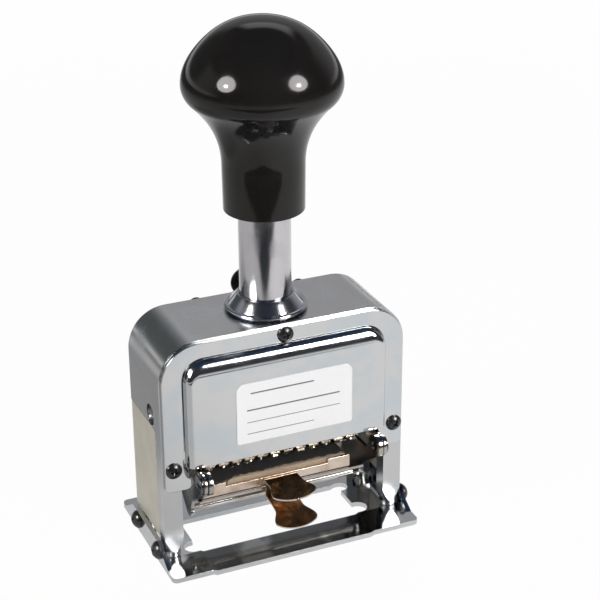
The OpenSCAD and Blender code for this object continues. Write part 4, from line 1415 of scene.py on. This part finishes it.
@dataclass
class NumberWheels:
    """Twelve number wheels with raised mirrored figures and a toothed ratchet each."""

    count: int = 12
    figures: int = 10
    first_figure: int = 6
    face: float = 9.5
    block_top: float = 9.08
    block: Span = (2.9, 4.2)
    block_taper: Span = (0.5, 0.93)
    block_gap: float = 0.05
    figure_height: float = 3.3
    figure_width: float = 2.15
    figure_proud: float = 0.1
    curve_steps: int = 3
    root: float = 8.3
    root_chamfer: Span = (0.4, 0.25)
    side_gap: float = 0.1
    dish: float = 4.4
    dish_depth: float = 0.35
    boss: float = 3.6
    nave: float = 3.4
    bore: float = 2.06
    hub_steps: int = 60
    ratchet_tip: float = 7.25
    ratchet_root: float = 6.1
    ratchet_width: float = 0.7
    ratchet_overlap: float = 0.02
    tooth_shares: tuple[float, ...] = (0.0, 0.06, 0.35, 0.7)
    tooth_ease: float = 0.25

    def figure(self, digit: int) -> Form:
        """Raised mirrored figure, upright along Y, on the plane z = 0.

        Args:
            digit: The figure.

        Returns:
            Its form.
        """
        curve = bpy.data.curves.new("figure", "FONT")
        curve.body = str(digit)
        curve.extrude = 0.5
        curve.resolution_u = self.curve_steps
        form = settled(show("figure", curve), 1.0)
        xs, ys = [p.x for p in form.points], [p.y for p in form.points]
        middle = Vector(((min(xs) + max(xs)) / 2, (min(ys) + max(ys)) / 2, -curve.extrude))
        tall = self.figure_height / (max(ys) - min(ys))
        wide = min(tall, self.figure_width / (max(xs) - min(xs)))
        deep = self.face - self.block_top + self.figure_proud
        return form.moved(Matrix.Diagonal((-wide, tall, deep, 1.0)) @ Matrix.Translation(-middle))

    def type_block(self) -> Form:
        """Tapered block that carries one figure, with its top on z = 0.

        Returns:
            The block.
        """
        wide, tall = self.block
        depth, taper = self.block_taper
        rings = []
        for level, share in ((self.ratchet_root - self.block_top, 1.0), (-depth, 1.0), (0.0, taper)):
            x, y = wide / 2 * share, tall / 2 * share
            rings.append([Vector((u, v, level)) for u, v in ((-x, -y), (x, -y), (x, y), (-x, y))])
        return Form.skin(rings, capped=True)

    def hub(self, width: float) -> Form:
        """Turned hub about Z, from z = 0 up.

        Args:
            width: Width of the wheel.

        Returns:
            The hub.
        """
        start, side, dish = self.ratchet_width, width - self.side_gap, width - self.dish_depth
        inward, down = self.root_chamfer
        profile = [(self.bore, 0.0), (self.boss, 0.0), (self.boss, start), (self.root, start),
                   (self.root, width - down), (self.root - inward, side), (self.dish, side),
                   (self.dish, dish), (self.nave, dish), (self.nave, width), (self.bore, width)]
        return Form.lathe(profile, self.hub_steps)

    def ratchet(self) -> Form:
        """Ratchet with one saw tooth for each figure, from z = 0 up.

        Returns:
            The ratchet.
        """
        tip, root, ease = self.ratchet_tip, self.ratchet_root, self.tooth_ease
        rings = []
        for level in (0.0, self.ratchet_width + self.ratchet_overlap):
            ring = []
            for tooth in range(self.figures):
                turn = math.tau * tooth / self.figures
                for share, radius in zip(self.tooth_shares, (root, tip, tip - ease, root + ease)):
                    angle = turn + share * math.tau / self.figures
                    ring.append(Vector((radius * math.cos(angle), radius * math.sin(angle), level)))
            rings.append(ring)
        return Form.skin(rings, capped=True)

    def build(self) -> None:
        """Make all wheels, set to count up from the left."""
        figures = [self.figure(d) for d in range(self.figures)]
        block = self.type_block()
        to_x = Matrix.Rotation(math.pi / 2, 4, "Y")
        outward = Matrix.Translation((0, 0, self.block_top))
        for index in range(self.count):
            node = f"number_wheel_{index + 1:02d}"
            a, b = low(node), high(node)
            width = b.x - a.x
            axle = Vector((a.x, (a.y + b.y) / 2, a.z + self.face))
            form = (self.hub(width) + self.ratchet()).moved(Matrix.Translation(axle) @ to_x)
            centre = a.x + width - self.block[0] / 2 - self.block_gap
            for place in range(self.figures):
                turn = Matrix.Rotation(math.tau * place / self.figures, 4, "X")
                at = Matrix.Translation((centre, axle.y, axle.z)) @ turn @ outward
                digit = (place + index + self.first_figure) % self.figures
                form = form + (block + figures[digit]).moved(at)
            make_piece(f"{node}_dressed", form, TYPE_BRASS, f"wheel_{index + 1:02d}", (node,),
                       sharp=SHARP_TYPE)


# --------------------------------------------------------------------------- ink pad and clip


@dataclass
class PadHolder:
    """Swinging holder with its tray and felt pad.

    Each of the pad's ends is given by distances from the end, with the share of the full section
    that the felt has there.
    """

    carriage_edge: Rounding = Rounding(0.2, 3)
    tray_edge: Rounding = Rounding(0.18, 3)
    side_gap: float = 0.02
    top_round: float = 0.45
    ends: tuple[Span, ...] = ((0.0, 0.93), (0.12, 0.975), (0.4, 1.0))
    fuzz: float = 0.07
    tufts: Span = (1.7, 4.1)
    fine_share: float = 0.6
    held: float = 0.1
    side_steps: int = 9
    round_steps: int = 5
    top_steps: int = 26
    length_steps: int = 96

    def pad_section(self, a: Vector, b: Vector) -> list[Span]:
        """Section of the felt, up its front, over its top and down its rear.

        Args:
            a: Lowest corner of the pad.
            b: Highest corner of the pad.

        Returns:
            Points in y and z.
        """
        r, front, rear = self.top_round, a.y + self.side_gap, b.y - self.side_gap
        section = line((front, a.z), (front, b.z - r), self.side_steps)
        section += arc((a.y + r, b.z - r), r, 180, 90, self.round_steps)[1:]
        section += line((a.y + r, b.z), (b.y - r, b.z), self.top_steps)[1:]
        section += arc((b.y - r, b.z - r), r, 90, 0, self.round_steps)[1:]
        return section + line((rear, b.z - r), (rear, a.z), self.side_steps)[1:]

    def pad(self) -> Form:
        """Felt block with soft upper edges and a fibrous skin.

        Returns:
            The felt block.
        """
        a, b = low("ink_pad"), high("ink_pad")
        section = self.pad_section(a, b)
        middle = Vector(((a.y + b.y) / 2, (a.z + b.z) / 2))
        reach = self.ends[-1][0]
        run = b.x - a.x - 2 * reach
        stations = [(a.x + step, share) for step, share in self.ends]
        stations += [(a.x + reach + run * i / self.length_steps, 1.0)
                     for i in range(1, self.length_steps + 1)]
        stations += [(b.x - step, share) for step, share in reversed(self.ends[:-1])]
        coarse, fine = self.tufts
        rings = []
        for x, share in stations:
            ring = []
            for y, z in section:
                spot = Vector((x, middle.x + (y - middle.x) * share, middle.y + (z - middle.y) * share))
                tuft = noise.noise(spot * coarse) + self.fine_share * noise.noise(spot * fine)
                shove = tuft * self.fuzz - self.fuzz if z > a.z + self.held else 0.0
                away = Vector((0, spot.y - middle.x, spot.z - middle.y)).normalized()
                ring.append(spot + away * shove)
            rings.append(ring)
        return Form.skin(rings, capped=True)

    def build(self) -> None:
        """Make the holder, the tray and the pad."""
        soften("pad_carriage", ARM_STEEL, Body.PAD, self.carriage_edge)
        soften("ink_tray", COPPERY_TRAY, Body.PAD, self.tray_edge)
        felt = make_piece("ink_pad_felt", self.pad(), INKED_FELT, Body.PAD, ("ink_pad",),
                          sharp=SHARP_FELT)


@dataclass
class Leaf:
    """Fishtail leaf of spring sheet, a little cupped, with a curled tip."""

    root: Span
    slope: float
    length: float
    neck: float
    wide: float
    neck_length: float
    tip: float = 2.8
    cup: float = 0.5
    cup_reach: float = 0.6
    droop: float = 0.25
    least_half: float = 0.02
    steps_along: int = 36
    steps_across: int = 28

    def half_width(self, s: float) -> float:
        """Half the width at some distance from the root.

        Args:
            s: The distance.

        Returns:
            Half the width there.
        """
        shoulder = self.length - self.tip
        if s <= self.neck_length:
            return self.neck / 2
        if s <= shoulder:
            share = (s - self.neck_length) / (shoulder - self.neck_length)
            return self.neck / 2 + (self.wide - self.neck) * (1 - math.cos(math.pi * share)) / 4
        return self.wide / 2 * math.sqrt(max(0.0, 1 - ((s - shoulder) / self.tip) ** 2))

    def form(self, middle: float) -> Form:
        """Open sheet of the leaf with its hollow side up.

        Args:
            middle: Place of its middle line along X.

        Returns:
            The sheet.
        """
        slope = math.radians(self.slope)
        along = Vector((0, -math.cos(slope), -math.sin(slope)))
        out = Vector((0, -math.sin(slope), math.cos(slope)))
        root = Vector((middle, self.root[0], self.root[1]))
        rings = []
        for i in range(self.steps_along + 1):
            s = self.length * math.sin(math.pi / 2 * i / self.steps_along)
            half = max(self.half_width(s), self.least_half)
            hollow = self.cup * min(1.0, s / (self.cup_reach * self.length))
            dip = self.droop * (s / self.length) ** 3
            ring = []
            for j in range(self.steps_across + 1):
                x = half * (-1 + 2 * j / self.steps_across)
                lift = hollow * (2 * x / self.wide) ** 2
                ring.append(root + along * s + out * (lift - dip) + Vector((x, 0, 0)))
            rings.append(ring)
        return Form.skin(rings, closed=False)


@dataclass
class Clip:
    """Two finger leaves of spring sheet that are pinched to free the pad."""

    sheet: float = 0.45
    upper: Leaf = field(default_factory=lambda: Leaf((-13.6, 21.75), 0.0, 13.2, 10.2, 13.2, 4.0, cup=0.55))
    lower: Leaf = field(default_factory=lambda: Leaf((-12.9, 16.25), 11.0, 15.5, 8.6, 12.6, 7.0, droop=0.3))
    leaf_edge: Rounding = Rounding(0.12, 2, 40.0)
    root_half: float = 4.3
    root_low: float = 15.8
    root_high: float = 20.4
    root_gaps: Span = (0.5, 0.03)
    root_edge: Rounding = Rounding(0.1, 2)
    curl: float = 0.45
    curl_chamfer: float = 0.06
    curl_drop: float = 0.15
    curl_steps: int = 24

    def roll(self, middle: float) -> Form:
        """Rolled end of the upper leaf.

        Args:
            middle: Place of its middle along X.

        Returns:
            The roll.
        """
        neck, chamfer = self.upper.neck, self.curl_chamfer
        profile = [(0.0, 0.0), (self.curl - chamfer, 0.0), (self.curl, chamfer), (self.curl, neck - chamfer),
                   (self.curl - chamfer, neck), (0.0, neck)]
        start = (middle - neck / 2, self.upper.root[0], self.upper.root[1] - self.curl_drop)
        place = Matrix.Translation(start) @ Matrix.Rotation(math.pi / 2, 4, "Y")
        return Form.lathe(profile, self.curl_steps).moved(place)

    def build(self) -> None:
        """Make both leaves, the root plate and the rolled end of the upper leaf."""
        middle = (low("clip_upper_lobe").x + high("clip_upper_lobe").x) / 2
        make_piece("clip_upper_sheet", self.upper.form(middle), TINTED_SPRING, Body.CLIP,
                   ("clip_upper_lobe",), self.leaf_edge, sheet=self.sheet, cut_edge=PAINTED_EDGE_HIGHLIGHT)
        make_piece("clip_upper_roll", self.roll(middle), TINTED_SPRING, Body.CLIP, ("clip_upper_lobe",),
                   sharp=SHARP_SMALL)
        left, right = middle - self.root_half, middle + self.root_half
        plate = [(left, self.root_low), (right, self.root_low),
                 (right, self.root_high), (left, self.root_high)]
        near, far = (low("ink_tray").y - gap for gap in self.root_gaps)
        make_piece("clip_root_plate", Form.prism(plate, near, far), TINTED_SPRING, Body.PAD,
                   ("clip_lower_lobe",), self.root_edge)
        make_piece("clip_lower_sheet", self.lower.form(middle), TINTED_SPRING, Body.PAD,
                   ("clip_lower_lobe",), self.leaf_edge, sheet=self.sheet, cut_edge=PAINTED_EDGE_HIGHLIGHT)


@dataclass
class Stud:
    """Knurled stud at the rear that holds the plunger down."""

    pin: float = 0.8
    pin_chamfer: Span = (0.2, 0.25)
    pin_sunk: float = 0.3
    pin_steps: int = 32
    head: float = 4.3
    rim: float = 0.7
    rim_chamfers: Triple = (0.2, 0.15, 0.12)
    shoulder: Span = (0.25, 0.06)
    cone_start: Span = (0.5, 0.2)
    cone: float = 1.7
    cone_steps: int = 5
    face: float = 2.4
    face_round: float = 0.15
    face_edge: Span = (0.1, 0.02)
    dimple_share: float = 0.55
    dimple: float = 0.1
    teeth: int = 44
    tooth_steps: int = 4
    knurl: float = 0.1

    def build(self) -> None:
        """Make the pin and the knurled head as one turned piece."""
        a, b = low("retaining_stud"), high("retaining_stud")
        rim_y = b.y - self.cone - self.rim
        inward, along = self.pin_chamfer
        stop = rim_y + self.pin_sunk
        stem = Form.lathe([(0.0, a.y), (self.pin - inward, a.y), (self.pin, a.y + along), (self.pin, stop),
                           (0.0, stop)], self.pin_steps)
        r, crest = self.head - self.knurl, rim_y + self.rim
        in_low, up_low, down_high = self.rim_chamfers
        body = [(0.0, rim_y), (r - in_low, rim_y), (r, rim_y + up_low), (r, crest - down_high),
                (r - self.shoulder[0], crest + self.shoulder[1])]
        body += line((r - self.cone_start[0], crest + self.cone_start[1]),
                     (self.face + self.face_round, b.y - self.face_round), self.cone_steps)
        body += [(self.face - self.face_edge[0], b.y - self.face_edge[1]),
                 (self.face * self.dimple_share, b.y), (0.0, b.y - self.dimple)]
        head = Form.lathe(body, self.teeth * self.tooth_steps,
                          lambda angle: self.knurl * math.cos(self.teeth * angle))
        axis = Matrix.Translation((0, 0, (a.z + b.z) / 2)) @ Matrix.Rotation(-math.pi / 2, 4, "X")
        make_piece("retaining_stud_turned", (stem + head).moved(axis), STUD_BLACK, Body.STUD,
                   ("retaining_stud",), sharp=SHARP_SMALL)


@dataclass
class ReturnSpring:
    """Coil spring in the tube, which keeps its CAD form because it is squeezed with the plunger."""

    def build(self) -> None:
        """Dress the coil."""
        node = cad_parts["return_spring"]
        for slot in node.material_slots:
            slot.material = SPRING_WIRE.material()
        LOG.info("return_spring dressed")


# --------------------------------------------------------------------------- studio


def bearing(azimuth: float, elevation: float) -> Vector:
    """Unit vector in a direction from the machine.

    Args:
        azimuth: Degrees from the front, with 90 on the right side.
        elevation: Degrees above the floor.

    Returns:
        The vector.
    """
    a, e = math.radians(azimuth), math.radians(elevation)
    return Vector((math.sin(a) * math.cos(e), -math.cos(a) * math.cos(e), math.sin(e)))


@dataclass(frozen=True)
class Lamp:
    """Round lamp seen from the middle of the machine."""

    name: str
    azimuth: float
    elevation: float
    distance: float
    spread: float
    radiance: float
    colour: Colour = (1.0, 0.96, 0.94)
    mirrored: bool = False
    lighting: bool = True

    def hang(self, centre: Vector) -> None:
        """Make the lamp and point it at the centre.

        Args:
            centre: What the lamp is pointed at, in metres.
        """
        toward = bearing(self.azimuth, self.elevation)
        data = bpy.data.lights.new(self.name, "AREA")
        data.shape = "DISK"
        radius = self.distance * math.tan(math.radians(self.spread / 2))
        data.size = 2 * radius
        data.energy = self.radiance * math.pi ** 2 * radius ** 2
        data.color = self.colour
        lamp = show(self.name, data)
        lamp.location = centre + toward * self.distance
        lamp.rotation_mode = "QUATERNION"
        lamp.rotation_quaternion = toward.to_track_quat("Z", "Y")
        lamp.visible_glossy = self.mirrored
        lamp.visible_diffuse = self.lighting
        lamp.visible_camera = False


@dataclass(frozen=True)
class Floor:
    """Pale matt paper that keeps shadows and stays bright for the eye and in the metal.

    Its reach is in metres. The share of plain light that is added to the paper is one for the eye and
    another for mirrors, and both rise far from the machine. Mirrors also see painted shading on the paper,
    darker to the left, and a painted shadow of the machine at the back left.
    """

    reach: float = 6.0
    colour: Colour = (0.86, 0.86, 0.855)
    fibre_size: float = 3.0
    fibre_share: float = 0.05
    fibre_colour: Colour = (0.8, 0.8, 0.8)
    lift_seen: float = 0.96
    lift_mirrored: float = 0.7
    lift_mirrored_far: float = 0.25
    far: Span = (300.0, 900.0)
    far_fade: float = 0.9
    gleam_colour: Colour = (1.0, 0.99, 0.985)
    gleam_left: float = 0.56
    gleam_rise: float = 0.44
    # Painted shading of the floor in mirrors: darker to the left over this reach.
    gleam_reach: Span = (-85.0, 35.0)
    # Painted shadow of the machine on the floor, seen only in mirrors, round this spot.
    dull_spot: Triple = (-88.0, 100.0, 0.0)
    dull_reach: Span = (45.0, 95.0)
    dull_depth: float = 0.36

    def gleam(self, graph: Graph, place: Tap, far: Tap) -> Tap:
        """Level at which the metal mirrors the floor: painted shading darker to the left, less a painted
        shadow of the machine at the back left.

        Args:
            graph: Graph of the material.
            place: Place on the floor.
            far: Share that is 1 far from the machine.

        Returns:
            The level, between 0 and 1.
        """
        x, _, _ = graph.axes(place)
        # Painted shadow of the machine at the back left and painted shading darker to the left, for mirrors
        # only.
        away = graph.vector("DISTANCE", {0: place, 1: self.dull_spot}, "Value")
        painted_shadow = (1 - away.rises(*self.dull_reach)) * self.dull_depth
        level = x.rises(*self.gleam_reach) * self.gleam_rise + self.gleam_left - painted_shadow
        return level * (1 - far * self.far_fade)

    def paint(self, graph: Graph) -> None:
        """Build the shader nodes of the paper.

        Args:
            graph: Graph of the material.
        """
        place = graph.place()
        fibre = graph.cloud(place, self.fibre_size, detail=3.0)
        paper = graph.mix(fibre * self.fibre_share, self.colour, self.fibre_colour)
        far = graph.vector("LENGTH", {0: place}, "Value").rises(*self.far)
        seen = graph.ray(Ray.SEEN)
        mirrored = graph.ray(Ray.GLOSSY) + graph.ray(Ray.THROUGH)
        gleam = graph.mix(self.gleam(graph, place, far), (0.0, 0.0, 0.0), self.gleam_colour)
        glow = graph.shader("Emission", {"Color": graph.mix(seen, gleam, (1.0, 1.0, 1.0)), "Strength": 1.0})
        for_eye = seen * (far * (1 - self.lift_seen) + self.lift_seen)
        for_metal = mirrored * (far * self.lift_mirrored_far + self.lift_mirrored)
        share = graph.clamped(for_eye + for_metal)
        matt = graph.shader("BsdfDiffuse", {"Color": paper})
        graph.close(graph.shader("MixShader", {0: share, 1: matt, 2: glow}))

    def lay(self) -> None:
        """Make the sheet."""
        reach = self.reach
        mesh = bpy.data.meshes.new("floor")
        corners = [(-reach, -reach, 0), (reach, -reach, 0), (reach, reach, 0), (-reach, reach, 0)]
        mesh.from_pydata(corners, [], [(0, 1, 2, 3)])
        material, graph = new_material("floor_paper")
        self.paint(graph)
        mesh.materials.append(material)
        show("floor", mesh)


@dataclass(frozen=True)
class DarkCard:
    """Dark card on the floor in front, which only the plunger's metal mirrors: a painted dark reflection in
    that metal, unseen by the eye and casting no shadow.

    Its edge is given as distances from the plunger and angles to either side of its azimuth.
    """

    azimuth: float = -24.0
    edge: tuple[Span, ...] = ((166.0, 3.0), (205.0, 24.0), (248.0, 45.0), (265.0, 51.0),
                              (298.0, 52.0), (302.0, 39.0), (303.0, 26.0), (304.0, 13.0))
    level: float = 0.3
    nap_size: float = 4.0
    dark: Colour = (0.02, 0.022, 0.026)
    pale: Colour = (0.05, 0.053, 0.06)

    def lay(self) -> None:
        """Make the card."""
        rim = [(r, self.azimuth - a) for r, a in self.edge]
        rim += [(r, self.azimuth + a) for r, a in reversed(self.edge)]
        spots = [(r * math.sin(math.radians(a)), -r * math.cos(math.radians(a)), self.level) for r, a in rim]
        mesh = make_mesh("card", Form([Vector(p) for p in spots], [tuple(range(len(spots)))]))
        material, graph = new_material("dark_card_painted_reflection")
        nap = graph.cloud(graph.place(), self.nap_size, detail=3.0)
        graph.close(graph.shader("BsdfDiffuse", {"Color": graph.mix(nap, self.dark, self.pale)}))
        mesh.materials.append(material)
        card = show("card", mesh)
        # Painted dark reflection: the card is hidden from the eye, from diffuse light and from shadows.
        card.visible_camera = False
        card.visible_diffuse = False
        card.visible_shadow = False


@dataclass(frozen=True)
class Room:
    """Room that the metal mirrors, while the eye sees plain white.

    Edges are heights or depths of a unit vector in the direction looked at; a third number is
    how softly both edges of a window fade.
    """

    back: Span = (-0.2, 0.3)
    wall_top: Span = (0.5, 0.62)
    wall: Colour = (0.40, 0.40, 0.41)
    shade: Colour = (0.04, 0.043, 0.05)
    beside: Triple = (0.16, 0.52, 0.14)
    band: Triple = (0.60, 0.72, 0.07)
    band_light: Colour = (1.2, 1.2, 1.2)
    ceiling_edge: Span = (0.76, 0.86)
    ceiling: Colour = (0.02, 0.035, 0.07)
    nook: Triple = (-0.42, 0.83, 0.36)
    nook_edge: Span = (0.86, 0.97)
    nook_shade: Colour = (0.09, 0.10, 0.10)
    strip: Triple = (0.655, 0.69, 0.015)
    strip_blue: Colour = (0.08, 0.30, 0.62)
    horizon_edge: Span = (0.05, 0.13)
    horizon_front: Colour = (0.04, 0.04, 0.04)
    horizon_back: Colour = (0.9, 0.9, 0.9)

    def surround(self) -> None:
        """Make the room as the world."""
        world = bpy.data.worlds.new("room")
        world.use_nodes = True
        bpy.context.scene.world = world
        graph = Graph(world.node_tree)
        toward = Tap(graph, graph.node("ShaderNodeTexCoord").outputs["Generated"])
        x, y, z = graph.axes(toward)
        beside = x.within(*self.beside)
        back = y.rises(*self.back)
        walls = graph.mix(back * (1 - z.rises(*self.wall_top)), self.shade, self.wall)
        walls = graph.mix(z.within(*self.band) * back * beside, walls, self.band_light)
        walls = graph.mix(z.rises(*self.ceiling_edge), walls, self.ceiling)
        nook = tuple(Vector(self.nook).normalized())
        near = graph.vector("DOT_PRODUCT", {0: toward, 1: nook}, "Value")
        walls = graph.mix(near.rises(*self.nook_edge), walls, self.nook_shade)
        walls = graph.mix(z.within(*self.strip) * (1 - back) * beside, walls, self.strip_blue)
        horizon = graph.mix(back, self.horizon_front, self.horizon_back)
        walls = graph.mix(z.rises(*self.horizon_edge), horizon, walls)
        colour = graph.mix(graph.ray(Ray.SEEN), walls, (1.0, 1.0, 1.0))
        graph.close(graph.shader("Background", {"Color": colour, "Strength": 1.0}), "World")


@dataclass(frozen=True)
class Camera:
    """Camera by its place in millimetres, its direction from the machine, and its lens."""

    place: Triple = (-160.965, -396.714, 269.552)
    azimuth: float = -23.383
    elevation: float = 24.844
    roll: float = -0.386
    lens: float = 100.04
    sensor: float = 36.0

    def stand(self) -> None:
        """Make the camera and look through it."""
        back = bearing(self.azimuth, self.elevation)
        right = (-back).cross(Vector((0, 0, 1))).normalized()
        up = right.cross(-back)
        roll = math.radians(self.roll)
        side = right * math.cos(roll) + up * math.sin(roll)
        head = up * math.cos(roll) - right * math.sin(roll)
        data = bpy.data.cameras.new("camera")
        data.lens = self.lens
        data.sensor_width = self.sensor
        eye = show("camera", data)
        turned = Matrix((side, head, back)).transposed().to_4x4()
        eye.matrix_world = Matrix.Translation(Vector(self.place) * MM) @ turned
        bpy.context.scene.camera = eye


@dataclass
class Studio:
    """Pale floor, dark card, room, soft lamps and camera; the lamps look at a centre in metres."""

    centre: Triple = (0.0, 0.0, 0.07)
    lamps: tuple[Lamp, ...] = (
        Lamp("disc_left", -78.5, 30.5, 1.3, 26.0, 16.0, mirrored=True, lighting=False),
        Lamp("disc_right", 34.5, 30.5, 1.3, 26.0, 16.0, mirrored=True, lighting=False),
        Lamp("core_left", -77.8, 28.8, 1.25, 5.0, 90.0, mirrored=True, lighting=False),
        Lamp("core_right", 34.0, 28.8, 1.25, 5.0, 90.0, mirrored=True, lighting=False),
        Lamp("key_left", -78.5, 30.5, 1.3, 26.0, 7.0),
        Lamp("key_right", 34.5, 30.5, 1.3, 26.0, 7.0),
        Lamp("fill_front", 0.0, 30.0, 1.6, 50.0, 2.4, (1.0, 1.0, 1.0)),
        Lamp("fill_top", 10.0, 72.0, 1.6, 60.0, 0.8, (1.0, 1.0, 1.0)),
        Lamp("fill_rear", 165.0, 38.0, 1.6, 45.0, 1.1, (1.0, 1.0, 1.0)),
    )

    def build(self) -> None:
        """Make the whole studio."""
        Floor().lay()
        DarkCard().lay()
        Room().surround()
        for lamp in self.lamps:
            lamp.hang(Vector(self.centre))
        Camera().stand()
        bpy.context.scene.view_settings.view_transform = "Standard"


def main() -> None:
    """Build the studio and every sub-assembly, logging each as it is built."""
    logging.basicConfig(level=logging.INFO, format="%(name)s: %(message)s")
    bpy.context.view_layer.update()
    assemblies = (Studio(), Housing(), BasePlate(), Covers(), Screws(), LabelPlate(), SideCovers(), Collar(),
                  Plunger(), NumberWheels(), PadHolder(), Clip(), Stud(), ReturnSpring())
    for assembly in assemblies:
        assembly.build()
        LOG.info("%s built", type(assembly).__name__)


if __name__ == "__main__":
    main()
